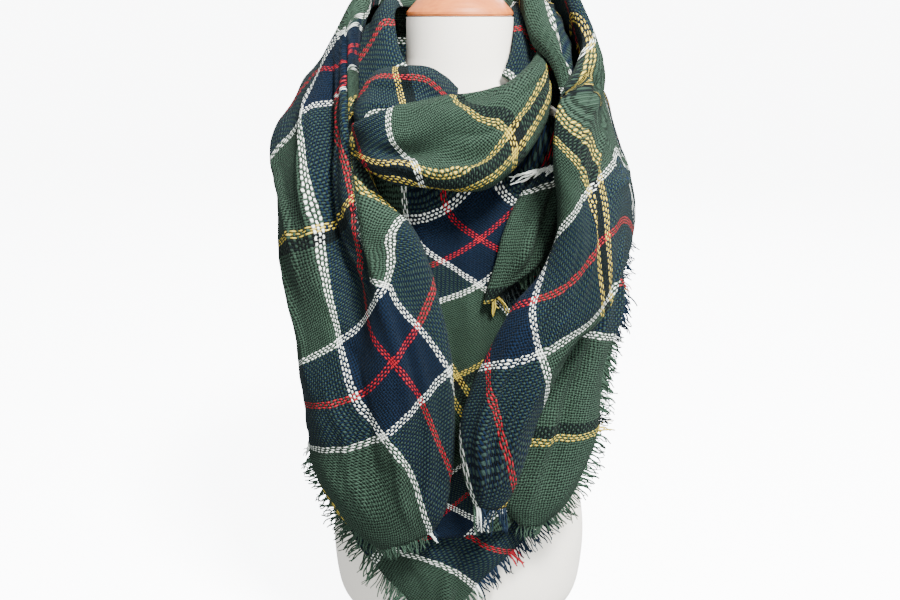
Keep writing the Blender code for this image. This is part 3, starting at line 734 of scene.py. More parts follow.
def point_seen(grid, ways, spot_x, spot_y):
    """The point of a grid that is seen at a spot of the picture."""
    x, y, depth = seen_at(grid)
    facing = np.sum(normals_of(grid, ways) * (EYE - grid), axis=2) > 0
    away = np.hypot(x - spot_x, y - spot_y) + BEHIND * (depth - depth.min())
    away += TURNED_AWAY * ~facing
    return np.unravel_index(np.argmin(away), away.shape)


def tucked(name, cloth, down, across):
    """How far down and across each point is with the hidden cloth counted, and the troughs."""
    real = {"down": down.copy(), "across": across.copy()}
    trough = np.zeros_like(down)
    for way, spots in TUCKS.get(name, []):
        own, other = (down, across) if way == "down" else (across, down)
        line = []
        for spot_x, spot_y, hidden in spots:
            spot = point_seen(cloth["fine"], cloth["fine_ways"], spot_x, spot_y)
            line.append((other[spot], own[spot], hidden))
        line = np.array(sorted(line))
        past = own - np.interp(other, line[:, 0], line[:, 1])
        hidden = np.interp(other, line[:, 0], line[:, 2])
        real[way] += hidden * smooth_step(past / TUCK_WIDTH + 0.5)
        inside = (other > line[0, 0] - TROUGH_ENDS) & (other < line[-1, 0] + TROUGH_ENDS)
        depth = np.minimum(hidden / FULL_TROUGH, 1)
        trough += inside * depth * np.exp(-((past / TROUGH_WIDTH) ** 2))
    return real["down"], real["across"], trough


# %% Crease every stretch
for number, (name, cloth) in enumerate(laid.items()):
    fine = cloth["fine"]
    down, across = lengths_of(fine)
    normal = normals_of(fine, cloth["fine_ways"])
    widths = across[:, -1] - across[:, 0]
    rise = crease_heights(CREASES[name], cloth["fine_fronts"], widths)
    rise += ripple(down, across, number)
    down, across, trough = tucked(name, cloth, down, across)
    rise -= TROUGH_DEPTH * trough
    tree = neighbours_tree(name)
    outwards = room_for(fine, normal, tree, MOST_RISE)
    inwards = room_for(fine, -normal, tree, MOST_RISE)
    rise = np.clip(rise, -inwards, outwards)
    cloth["shell"] = fine + normal * rise[:, :, None]
    cloth["down"], cloth["across"] = down, across
    print(f"{name} creased from {rise.min():.1f} to {rise.max():.1f} mm")

# %% [markdown]
# ## Where the plaid runs
# A tartan repeats one row of stripes along the cloth and one across it. What has to be settled for
# each stretch is only where on the square it lies: how far each point is across the square (a)
# and down it (b). A few spots on lines of the plaid, seen in the picture, fix that. The flat cloth
# is first turned and moved to fit them as well as it can, at its real size, which carries the
# pattern on round the sides and the back. Near each spot it then gives a little.

# %% Spots on the lines of the plaid
# picture x, picture y, a in mm, b in mm
LINES = {
    "left_tail": [
        (375, 15, 0, -375), (342, 38, 0, -340), (321, 69, 0, -285), (307, 115, 0, -230),
        (303, 149, 0, -197), (306, 184, 0, -162), (317, 228, 0, -119), (329, 300, 0, -47),
        (341, 342, 0, 0), (358, 394, 0, 55), (384, 436, 0, 110), (409, 462, 0, 145),
        (414, 484, 0, 166), (422, 508, 0, 187), (429, 523, 0, 198),
        (327, 96, 55, -228), (331, 119, 55, -200), (337, 142, 55, -177), (344, 168, 55, -150),
        (350, 199, 55, -119), (358, 239, 55, -78), (371, 333, 55, 22), (393, 360, 55, 55),
        (409, 378, 55, 78), (421, 401, 55, 110), (428, 423, 55, 134), (438, 449, 55, 160),
        (446, 465, 55, 178), (378, 290, 110, 0), (401, 306, 110, 28), (416, 324, 110, 55),
        (428, 345, 110, 80), (444, 372, 110, 110), (453, 386, 110, 124), (366, 174, 234, -40),
        (379, 197, 216, -36), (405, 207, 216, 0), (394, 241, 165, 0),
        (430, 300, 140, 55), (439, 270, 170, 55), (284, 105, -50, -285), (281, 142, -50, -230),
        (280, 241, -42, -119), (303, 402, -62, 55), (370, 392, 20, 55), (313, 448, -75, 110),
        (370, 439, -12, 110), (401, 421, 28, 110), (378, 545, -66, 199), (345, 528, -100, 190),
    ],
    "right_tail": [
        (603, 180, -124, 0), (594, 191, -106, 0), (610, 233, -124, 55), (599, 243, -106, 55),
        (608, 249, -124, 70), (600, 268, -106, 80), (593, 149, -124, -33), (582, 132, -124, -55),
        (562, 119, -124, -78), (544, 104, -124, -102), (585, 161, -106, -32),
        (570, 145, -106, -54), (552, 136, -106, -74), (621, 143, -165, 0), (612, 163, -145, 0),
        (578, 205, -72, 0), (566, 222, -42, 0), (623, 216, -160, 55), (587, 262, -75, 55),
        (572, 281, -50, 55), (555, 289, -28, 55), (520, 304, 16, 55), (556, 250, 0, 8),
        (543, 268, 0, 26), (534, 287, 0, 44), (533, 300, 0, 55), (536, 321, 0, 76),
        (541, 355, 0, 110), (544, 368, 0, 122), (491, 345, 55, 90), (489, 364, 55, 110),
        (490, 382, 55, 128), (495, 406, 55, 153), (501, 427, 55, 168), (507, 441, 55, 178),
        (479, 370, 68, 110), (513, 361, 28, 110), (560, 343, -25, 110), (457, 423, 110, 163),
        (460, 447, 110, 180), (466, 474, 110, 188), (472, 484, 110, 192), (492, 470, 80, 188),
        (505, 482, 62, 194), (500, 497, 74, 202),
        (575, 57, -115, -230), (571, 23, -115, -285),
        (577, 78, -115, -204),
    ],
    "roll": [
        (345, 96, 55, 150), (352, 84, 55, 165), (367, 77, 55, 190), (394, 76, 55, 220),
        (413, 77, 55, 240), (432, 84, 55, 262), (402, 93, 80, 220), (355, 120, 92, 150),
        (370, 64, 40, 195), (425, 68, 36, 255),
    ],
    "swoop": [
        (368, 153, 216, 55), (394, 163, 216, 83), (418, 167, 216, 110), (451, 173, 216, 143),
        (465, 173, 216, 160), (478, 163, 216, 178), (507, 134, 216, 220), (520, 119, 216, 240),
        (530, 101, 216, 260), (536, 86, 216, 275), (382, 172, 234, 83), (423, 184, 234, 114),
        (440, 185, 234, 132), (474, 186, 234, 168), (488, 172, 234, 188), (517, 143, 234, 225),
        (536, 119, 234, 255), (403, 98, 128, 110), (383, 119, 148, 110), (375, 133, 164, 110),
        (440, 93, 128, 220), (459, 105, 154, 220), (478, 113, 176, 220), (497, 126, 203, 220),
    ],
    "front_panel": [
        (449, 209, 55, 0), (485, 237, 55, 55), (516, 209, 0, 55), (467, 276, 110, 95),
        (467, 191, 28, 0), (430, 218, 82, 0), (440, 262, 108, 55), (501, 251, 58, 95),
        (445, 290, 150, 95), (490, 295, 110, 125), (487, 356, 172, 220), (454, 378, 222, 220),
        (448, 506, 340, 395), (462, 517, 340, 412), (483, 527, 340, 450), (424, 539, 395, 400),
        (442, 555, 395, 425), (456, 553, 378, 450), (400, 520, 400, 350), (495, 505, 318, 450),
    ],
    "point": [
        (393, 551, 450, 458), (421, 555, 450, 486), (438, 564, 450, 503), (454, 572, 450, 520),
        (470, 582, 450, 536), (487, 545, 395, 505), (507, 549, 395, 528), (380, 570, 500, 458),
        (400, 596, 520, 492), (350, 532, 496, 425), (517, 522, 352, 520), (536, 518, 356, 535),
    ],
    "corner_tip": [
        (528, 200, 140, 330), (555, 190, 170, 330), (500, 270, 130, 250), (540, 250, 190, 270),
        (490, 302, 135, 222),
    ],
    "neck_fold": [
        (538, 2, 124, -95), (522, 20, 150, -75), (534, 40, 158, -52), (552, 50, 142, -52),
        (545, 70, 160, -22), (565, 84, 145, -10),
    ],
    "right_under": [
        (530, 406, 110, -85), (522, 443, 110, -119), (511, 474, 110, -152), (503, 502, 110, -180),
        (536, 443, 125, -119), (556, 439, 145, -119), (581, 437, 172, -119), (581, 332, 150, 0),
        (597, 334, 168, 0), (608, 338, 182, 0), (595, 283, 160, 55), (608, 283, 175, 55),
    ],
    "right_back": [
        (600, 397, 165, 0), (595, 425, 165, 30), (610, 350, 172, -50), (606, 397, 172, 0),
    ],
    "collar": [
        (375, 34, 150, 55), (390, 24, 166, 55), (405, 17, 182, 55), (386, 50, 165, 88),
    ],
}

SPREAD = 55.0  # how far a spot bends the pattern round it
GIVE = 0.05  # how much the pattern may miss a spot to stay smooth


# %% Fitting the plaid to the spots
def pull(first, second):
    """How strongly each spot of one list is bent by each spot of another."""
    gap = first[:, None, :] - second[None, :, :]
    return np.exp(-np.sum(gap**2, axis=2) / (2 * SPREAD**2))


def cloth_place(name, cloth):
    """Where each point of a stretch lies on the square of cloth: a and b, in millimetres."""
    down, across = cloth["down"], cloth["across"]
    seen = [point_seen(cloth["shell"], cloth["fine_ways"], *spot[:2]) for spot in LINES[name]]
    here = np.array([(down[i, j], across[i, j]) for i, j in seen])
    there = np.array(LINES[name], float)[:, 2:4]
    left, _, right = np.linalg.svd((here - here.mean(axis=0)).T @ (there - there.mean(axis=0)))
    turn = left @ right
    start = there.mean(axis=0) - here.mean(axis=0) @ turn
    rest = there - here @ turn - start
    weights = np.linalg.solve(pull(here, here) + GIVE * np.eye(len(here)), rest)
    points = np.column_stack([down.ravel(), across.ravel()])
    found = points @ turn + start + pull(points, here) @ weights
    miss = np.linalg.norm(pull(here, here) @ weights - rest, axis=1)
    worst = int(np.argmax(miss))
    print(f"{name} bent by {np.abs(rest).mean():.0f} mm, misses by {miss.mean():.1f} mm,",
          f"at worst {miss[worst]:.1f} at", LINES[name][worst])
    return found.reshape(*down.shape, 2)


for name, cloth in laid.items():
    cloth["place"] = cloth_place(name, cloth)

# %% [markdown]
# ## The weave
# The cloth is a plain weave of thick, hairy yarn. Up close each yarn shows as a row of short
# dashes where it passes over the others. The colours of the checks come from this alone: a green
# yarn over green is solid green, and green among navy is a dark blue-green. A painted check would
# have flat colours, so the material weaves the two sets of yarns instead. Which yarn is on top
# follows from two waves, one for each set, and its stripe's colour comes from the thread count.

# %% Thread counts and yarn colours
YARNS_IN_REPEAT = 120
YARN = 340 / YARNS_IN_REPEAT  # one yarn, in mm, where one repeat of the plaid is 340 mm
YARNS_IN_METRE = 1 / MM / YARN
YARN_COLOURS = {
    "white": (0.56, 0.60, 0.56),
    "navy": (0.0012, 0.0053, 0.0165),
    "red": (0.22, 0.0045, 0.0130),
    "green": (0.0180, 0.0350, 0.0240),
    "yellow": (0.37, 0.285, 0.045),
    "black": (0.0018, 0.0034, 0.0046),
}
WARP_COUNT = [("white", 3), ("navy", 17), ("red", 3), ("navy", 16), ("white", 3), ("green", 35),
              ("yellow", 3), ("black", 4), ("yellow", 3), ("green", 33)]
WEFT_COUNT = [("white", 3), ("navy", 17), ("red", 3), ("navy", 16), ("white", 3), ("green", 36),
              ("yellow", 3), ("black", 4), ("green", 35)]
WHITE_MIDDLE = 1.5  # the middle of the first white stripe, in yarns, which is a = 0
for count in (WARP_COUNT, WEFT_COUNT):
    print("yarns in one repeat:", sum(number for _, number in count))


# %% Small helpers for node trees
def joined(tree, socket, value):
    """Sets a socket to a value, or links another socket to it."""
    if isinstance(value, bpy.types.NodeSocket):
        tree.links.new(value, socket)
    else:
        socket.default_value = value


def maths(tree, operation, *values):
    """One step of arithmetic in a node tree."""
    node = tree.nodes.new("ShaderNodeMath")
    node.operation = operation
    for socket, value in zip(node.inputs, values):
        joined(tree, socket, value)
    return node.outputs[0]


def blended(tree, share, first, second, way="MIX"):
    """Two colours blended by a share."""
    node = tree.nodes.new("ShaderNodeMix")
    node.data_type = "RGBA"
    node.blend_type = way
    joined(tree, node.inputs["Factor"], share)
    joined(tree, node.inputs["A"], first)
    joined(tree, node.inputs["B"], second)
    return node.outputs["Result"]


def mapped(tree, value, low, high, new_low, new_high):
    """A value carried from one range to another, and kept inside it."""
    node = tree.nodes.new("ShaderNodeMapRange")
    joined(tree, node.inputs["Value"], value)
    ends = {"From Min": low, "From Max": high, "To Min": new_low, "To Max": new_high}
    for key, number in ends.items():
        node.inputs[key].default_value = number
    return node.outputs["Result"]


def noise(tree, vector, scale, detail=2.0, roughness=0.5):
    """A noise texture's value."""
    node = tree.nodes.new("ShaderNodeTexNoise")
    joined(tree, node.inputs["Vector"], vector)
    node.inputs["Scale"].default_value = scale
    node.inputs["Detail"].default_value = detail
    node.inputs["Roughness"].default_value = roughness
    return node.outputs[0]


def split_up(tree, vector):
    """The separate numbers of a vector."""
    node = tree.nodes.new("ShaderNodeSeparateXYZ")
    tree.links.new(vector, node.inputs[0])
    return node.outputs


def stretched(tree, vector, scale, turn=0.0):
    """A vector turned and scaled, so that a texture on it is drawn out."""
    node = tree.nodes.new("ShaderNodeMapping")
    tree.links.new(vector, node.inputs["Vector"])
    node.inputs["Rotation"].default_value = (0, 0, turn)
    node.inputs["Scale"].default_value = scale
    return node.outputs[0]


def own_place(tree):
    """Where a point is in its own object."""
    return tree.nodes.new("ShaderNodeTexCoord").outputs["Object"]


def cloth_map(tree):
    """Where a point lies on the square of cloth, in metres."""
    node = tree.nodes.new("ShaderNodeUVMap")
    node.uv_map = "cloth"
    return node.outputs[0]


def new_group(name, inputs, outputs):
    """An empty shader group with those sockets, and its two ends."""
    group = bpy.data.node_groups.new(name, "ShaderNodeTree")
    for label, kind in inputs:
        group.interface.new_socket(name=label, in_out="INPUT", socket_type="NodeSocket" + kind)
    for label, kind in outputs:
        group.interface.new_socket(name=label, in_out="OUTPUT", socket_type="NodeSocket" + kind)
    start = group.nodes.new("NodeGroupInput")
    end = group.nodes.new("NodeGroupOutput")
    return group, start.outputs, end.inputs


def placed(tree, group, **values):
    """A group used in a tree, with its inputs set or linked."""
    node = tree.nodes.new("ShaderNodeGroup")
    node.node_tree = group
    for label, value in values.items():
        joined(tree, node.inputs[label], value)
    return node.outputs


# %% The stripes of one set of yarns
def stripes(name, count):
    """A group that gives the colour of the yarn at a place counted in yarns."""
    group, given, result = new_group(name, [("Yarns", "Float")], [("Color", "Color")])
    whole = maths(group, "FLOOR", given["Yarns"])
    middle = maths(group, "ADD", whole, 0.5)
    turn = maths(group, "FLOORED_MODULO", middle, float(YARNS_IN_REPEAT))
    place = maths(group, "DIVIDE", turn, float(YARNS_IN_REPEAT))
    ramp = group.nodes.new("ShaderNodeValToRGB")
    ramp.color_ramp.interpolation = "CONSTANT"
    group.links.new(place, ramp.inputs[0])
    spots = ramp.color_ramp.elements
    start = 0
    for number, (colour, yarns) in enumerate(count):
        spot = spots[number] if number < 2 else spots.new(start / YARNS_IN_REPEAT)
        spot.position = start / YARNS_IN_REPEAT
        spot.color = (*YARN_COLOURS[colour], 1.0)
        start += yarns
    group.links.new(ramp.outputs[0], result["Color"])
    return group


WARP_STRIPES = stripes("warp stripes", WARP_COUNT)
WEFT_STRIPES = stripes("weft stripes", WEFT_COUNT)
print("stripe groups:", WARP_STRIPES.name, "and", WEFT_STRIPES.name)

# %% The woven yarns
HALF_YARN = 0.29  # half a yarn's width, as a share of the space that it has
ROUNDNESS = 0.55  # how far a yarn's middle stands above its sides
WAVE = 0.5  # how far a yarn rises and sinks as it passes over and under
BESIDE = 1.6  # how far the height drops beside a yarn
GAP_FLOOR = -0.25
OVERLAP = 0.06  # how softly one yarn's colour gives way to the other's
WOBBLE = 0.0022  # how far the yarns wander, in metres
MINGLE_MOST, MINGLE_FALL = 1.10, 24.0  # how much fuzz mingles on black, and how fast that falls


def woven_yarns():
    """A group that weaves the two sets: the colour on top, its height, and where the gaps are."""
    group, given, result = new_group(
        "woven yarns", [("Cloth", "Vector")], [("Color", "Color"), ("Height", "Float")])
    wobble = group.nodes.new("ShaderNodeTexNoise")
    group.links.new(given["Cloth"], wobble.inputs["Vector"])
    wobble.inputs["Scale"].default_value = 180.0
    wobble.inputs["Detail"].default_value = 1.0
    uneven = group.nodes.new("ShaderNodeVectorMath")
    uneven.operation = "MULTIPLY_ADD"
    group.links.new(wobble.outputs[1], uneven.inputs[0])
    uneven.inputs[1].default_value = (WOBBLE, WOBBLE, 0.0)
    group.links.new(given["Cloth"], uneven.inputs[2])
    centre = WHITE_MIDDLE - WOBBLE / 2 * YARNS_IN_METRE  # the noise is 0.5 in the mean
    a, b = (maths(group, "MULTIPLY_ADD", part, YARNS_IN_METRE, centre)
            for part in split_up(group, uneven.outputs[0])[:2])
    heights = []
    for own, other, turn in ((a, b, 0.0), (b, a, math.pi)):
        number = maths(group, "FLOOR", own)
        off = maths(group, "SUBTRACT", maths(group, "SUBTRACT", own, number), 0.5)
        edge = maths(group, "POWER", maths(group, "DIVIDE", off, HALF_YARN), 2.0)
        inside = maths(group, "MAXIMUM", maths(group, "SUBTRACT", 1.0, edge), 0.0)
        passed = maths(group, "ADD", maths(group, "SUBTRACT", other, 0.5), number)
        phase = maths(group, "MULTIPLY_ADD", passed, math.pi, turn)
        wave = maths(group, "MULTIPLY", maths(group, "COSINE", phase), WAVE)
        body = maths(group, "MULTIPLY_ADD", maths(group, "SQRT", inside), ROUNDNESS, wave)
        beside = maths(group, "MULTIPLY", maths(group, "GREATER_THAN", edge, 1.0), BESIDE)
        heights.append(maths(group, "SUBTRACT", body, beside))
    higher = maths(group, "SUBTRACT", *heights)
    on_top = mapped(group, higher, -OVERLAP, OVERLAP, 0.0, 1.0)
    warp = placed(group, WARP_STRIPES, Yarns=a)["Color"]
    weft = placed(group, WEFT_STRIPES, Yarns=b)["Color"]
    colour = blended(group, on_top, weft, warp)
    # the fuzz of two dark yarns mingles where they cross; the brighter a yarn is, the less
    # of that it takes, and the red, yellow and white ones take none
    darker = blended(group, 1.0, weft, warp, "DARKEN")
    bright = group.nodes.new("ShaderNodeRGBToBW")
    group.links.new(colour, bright.inputs[0])
    dark = maths(group, "MULTIPLY_ADD", bright.outputs[0], -MINGLE_FALL, MINGLE_MOST)
    colour = blended(group, maths(group, "MAXIMUM", dark, 0.0), colour, darker)
    height = maths(group, "MAXIMUM", maths(group, "MAXIMUM", *heights), GAP_FLOOR)
    group.links.new(colour, result["Color"])
    group.links.new(height, result["Height"])
    return group


WOVEN = woven_yarns()
print("weave nodes:", len(WOVEN.nodes))

# %% [markdown]
# ## Hair, uneven dye and painted shade
# Brushed yarn has a haze of fine hairs that lightens it unevenly, and its dye is never quite even.
# One group adds both to any yarn colour, so the cloth and its fringe match. The same group
# paints shade on a yarn towards its sides and in the gaps beside it, and a painted highlight
# on its crown.

# %% Hairy yarn and painted shade
def hairy_yarn_with_painted_shade():
    """A group that gives a yarn colour its hairs, its uneven dye, painted shade between yarns and a
    painted highlight on their crowns.
    """
    group, given, result = new_group(
        "hairy yarn with painted shade",
        [("Color", "Color"), ("Cloth", "Vector"), ("Height", "Float"), ("Haze", "Float")],
        [("Color", "Color"), ("Hair", "Float")])
    slanted = stretched(group, given["Cloth"], (1.0, 3.2, 1.0), math.radians(34))
    hair = noise(group, slanted, 900.0, 3.0, 0.65)
    dye = noise(group, given["Cloth"], 14.0, 3.0, 0.55)
    shade = maths(group, "MULTIPLY", mapped(group, hair, 0.25, 0.75, 0.55, 1.45),
                  mapped(group, dye, 0.3, 0.7, 0.88, 1.12))
    # painted shade: the colour darkens where the weave is low, beside and between the yarns, and a
    # painted highlight lightens it on their crowns
    gap = mapped(group, given["Height"], 0.0, 0.85, 0.06, 1.35)
    shade = maths(group, "MULTIPLY", shade, gap)
    grey = group.nodes.new("ShaderNodeCombineColor")
    for socket in grey.inputs[:3]:
        group.links.new(shade, socket)
    shaded = blended(group, 1.0, given["Color"], grey.outputs[0], "MULTIPLY")
    haze = maths(group, "MULTIPLY", given["Haze"], mapped(group, hair, 0.45, 0.80, 0.0, 1.0))
    pale = blended(group, haze, shaded, (0.10, 0.14, 0.115, 1.0))
    group.links.new(pale, result["Color"])
    group.links.new(hair, result["Hair"])
    return group


HAIRY_WITH_PAINTED_SHADE = hairy_yarn_with_painted_shade()


def new_material(name, roughness):
    """An empty material, its tree and its shader."""
    material = bpy.data.materials.new(name)
    material.use_nodes = True
    shader = material.node_tree.nodes["Principled BSDF"]
    shader.inputs["Roughness"].default_value = roughness
    return material, material.node_tree, shader


def bumped(tree, shader, height, strength, distance):
    """A bump from a height, fed to the shader."""
    bump = tree.nodes.new("ShaderNodeBump")
    bump.inputs["Strength"].default_value = strength
    bump.inputs["Distance"].default_value = distance
    tree.links.new(height, bump.inputs["Height"])
    tree.links.new(bump.outputs[0], shader.inputs["Normal"])


def soft_cloth(shader):
    """The dull surface of brushed cloth, with the least glow along its edges."""
    shader.inputs["Sheen Weight"].default_value = 0.02
    shader.inputs["Sheen Roughness"].default_value = 0.5
    shader.inputs["Sheen Tint"].default_value = (0.75, 0.85, 0.80, 1.0)
    shader.inputs["Specular IOR Level"].default_value = 0.04


# %% The plaid cloth
def plaid_cloth():
    """The woven cloth, laid out by the piece's own map of where it lies on the square."""
    material, tree, shader = new_material("brushed plaid", 0.92)
    cloth = cloth_map(tree)
    woven = placed(tree, WOVEN, Cloth=cloth)
    # the weave's height drives the yarn group's painted shade between yarns and painted highlight
    # on their crowns
    yarn = placed(tree, HAIRY_WITH_PAINTED_SHADE, Color=woven["Color"], Cloth=cloth, Height=woven["Height"],
                  Haze=0.10)
    tree.links.new(yarn["Color"], shader.inputs["Base Color"])
    relief = maths(tree, "MULTIPLY_ADD", yarn["Hair"], 0.35, woven["Height"])
    bumped(tree, shader, relief, 0.8, 0.0014)
    soft_cloth(shader)
    return material


PLAID = plaid_cloth()


# %% The fringe's yarn
def fringe_yarn(name, group, channel):
    """Loose yarn that keeps the colour of the stripe that it comes out of."""
    material, tree, shader = new_material(name, 0.95)
    across = split_up(tree, cloth_map(tree))[channel]
    yarns = maths(tree, "MULTIPLY_ADD", across, YARNS_IN_METRE, WHITE_MIDDLE)
    colour = placed(tree, group, Yarns=yarns)["Color"]
    # a height of 0.90 gives every loose yarn the painted highlight of a yarn's crown
    yarn = placed(tree, HAIRY_WITH_PAINTED_SHADE, Color=colour, Cloth=own_place(tree), Height=0.90, Haze=0.30)
    tree.links.new(yarn["Color"], shader.inputs["Base Color"])
    bumped(tree, shader, yarn["Hair"], 0.5, 0.0006)
    soft_cloth(shader)
    return material


WARP_YARN = fringe_yarn("loose warp yarn", WARP_STRIPES, 0)
WEFT_YARN = fringe_yarn("loose weft yarn", WEFT_STRIPES, 1)

# %% [markdown]
# ## The cloth itself
# Each stretch starts as a flat grid, as the cloth did on the loom, and its points are then moved
# to where it hangs. A Solidify modifier gives it its thickness, half on each side.

# %% Finished pieces
def finished(name, shape, material):
    """The shape as a smooth piece of the scene in that material."""
    mesh = bpy.data.meshes.new(name)
    shape.to_mesh(mesh)
    shape.free()
    mesh.shade_smooth()
    mesh.materials.append(material)
    piece = bpy.data.objects.new(name, mesh)
    scene.collection.objects.link(piece)
    return piece


def shell_piece(name, cloth):
    """A stretch of cloth as a thin shell, with its place on the square as its UV map."""
    rows, columns = cloth["shell"].shape[:2]
    shape = bmesh.new()
    bmesh.ops.create_grid(shape, x_segments=columns - 1, y_segments=rows - 1, size=1.0)
    where = {}
    shape.verts.index_update()
    shape.faces.ensure_lookup_table()
    for vert in shape.verts:
        j = round((vert.co.x + 1) / 2 * (columns - 1))
        i = round((vert.co.y + 1) / 2 * (rows - 1))
        where[vert.index] = (i, j)
        vert.co = cloth["shell"][i, j] * MM
    layer = shape.loops.layers.uv.new("cloth")
    for face in shape.faces:
        for loop in face.loops:
            i, j = where[loop.vert.index]
            loop[layer].uv = cloth["place"][i, j] * MM
    middle = shape.faces[len(shape.faces) // 2]
    middle.normal_update()
    i, j = where[middle.verts[0].index]
    if middle.normal.dot(Vector(cloth["fine_ways"][i, j])) < 0:
        bmesh.ops.reverse_faces(shape, faces=shape.faces)
    piece = finished(name, shape, PLAID)
    wall = piece.modifiers.new("thickness", "SOLIDIFY")
    wall.thickness = SHELL * MM
    wall.offset = 0.0
    return piece


# %% Make the stretches
cloth_pieces = {}
for name, cloth in laid.items():
    cloth_pieces[name] = shell_piece(name + "_cloth", cloth)

# %% [markdown]
# ## The fringe
# The edges are frayed: the crosswise yarns are pulled out, and the others hang loose. Each loose
# yarn is one thin three-sided tube that grows out of the edge in the colour of its stripe. Hair
# particles could grow them too, but real tubes keep their shape in every program. Neighbours
# lean and hang together in small bunches, as brushed yarns cling.

# %% The rows of fringe
# fringe, stretch, edge, start and end as shares of that edge, length in mm, droop, lean, yarns.
# A white row is the end of one white stripe, which hangs sideways past the corner.
FRINGES = [
    ("left_tail_side_fringe", "left_tail", "left", 0.67, 1.0, 21, 0.45, 0.15, "weft"),
    ("left_tail_end_fringe", "left_tail", "end", 0.0, 1.0, 16, 0.45, 0.25, "warp"),
    ("point_left_fringe", "point", "left", 0.24, 1.0, 22, 0.55, 0.6, "warp"),
    ("point_right_fringe", "point", "right", 0.24, 1.0, 22, 0.50, 0.8, "warp"),
    ("corner_tip_fringe", "corner_tip", "right", 0.40, 1.0, 20, 0.55, 0.8, "weft"),
    ("corner_tip_top_fringe", "corner_tip", "start", 0.0, 0.70, 30, 0.15, 0.3, "white"),
    ("right_under_side_fringe", "right_under", "right", 0.06, 1.0, 20, 0.45, 0.8, "weft"),
    ("right_under_end_fringe", "right_under", "end", 0.0, 1.0, 16, 0.45, 0.2, "warp"),
    ("right_back_side_fringe", "right_back", "right", 0.04, 1.0, 17, 0.45, 0.2, "weft"),
    ("right_back_end_fringe", "right_back", "end", 0.0, 1.0, 16, 0.35, 0.2, "warp"),
    ("right_tail_end_fringe", "right_tail", "end", 0.0, 1.0, 32, 0.65, 0.3, "warp"),
]

# %% One loose yarn
LOOSE_YARN = 1.05  # the radius of a loose yarn
YARNS_APART = 1.7
RINGS = 10
SIDES = 3
ROOT = 1.4  # how deep in the cloth a loose yarn starts
TAPER = 0.35
TWIST = 1.2
BUNCH_ENDS = 0.22  # how often a bunch of yarns ends with the next yarn
EDGE_STEPS = 600  # how many steps an edge is measured in


def one_yarn():
    """A short three-sided tube as a mesh, ring after ring, for the fringe to copy."""
    shape = bmesh.new()
    shape.loops.layers.uv.new("cloth")
    bmesh.ops.create_circle(shape, cap_ends=False, segments=SIDES, radius=1.0)
    edges = list(shape.edges)
    bmesh.ops.contextual_create(shape, geom=edges)
    for _ in range(1, RINGS):
        grown = bmesh.ops.extrude_edge_only(shape, edges=edges)["geom"]
        edges = [part for part in grown if isinstance(part, bmesh.types.BMEdge)]
        verts = [part for part in grown if isinstance(part, bmesh.types.BMVert)]
        bmesh.ops.translate(shape, vec=(0, 0, 1.0), verts=verts)
        edges = [edge for edge in edges if all(vert in verts for vert in edge.verts)]
    bmesh.ops.contextual_create(shape, geom=edges)
    bmesh.ops.recalc_face_normals(shape, faces=shape.faces)
    mesh = bpy.data.meshes.new("one yarn")
    shape.to_mesh(mesh)
    shape.free()
    print("one loose yarn has", len(mesh.polygons), "faces")
    return mesh


# %% A row of loose yarns
def read_at(places, tables):
    """Each table's rows at places counted in rows."""
    steps = np.arange(len(tables[0]))
    return [np.column_stack([np.interp(places, steps, column) for column in table.T])
            for table in tables]


def edge_line(cloth, edge, start, end):
    """A share of a stretch's edge, the way out past it, its normals, its place on the square."""
    grid = cloth["shell"]
    normal = normals_of(grid, cloth["fine_ways"])
    cuts = {"left": (np.s_[:, 0], np.s_[:, 2]), "right": (np.s_[:, -1], np.s_[:, -3]),
            "start": (np.s_[0], np.s_[2]), "end": (np.s_[-1], np.s_[-3])}
    rim, inner = cuts[edge]
    places = evenly(grid[rim], EDGE_STEPS)[int(EDGE_STEPS * start):int(EDGE_STEPS * end) + 1]
    return read_at(places, (grid[rim], grid[rim] - grid[inner], normal[rim], cloth["place"][rim]))


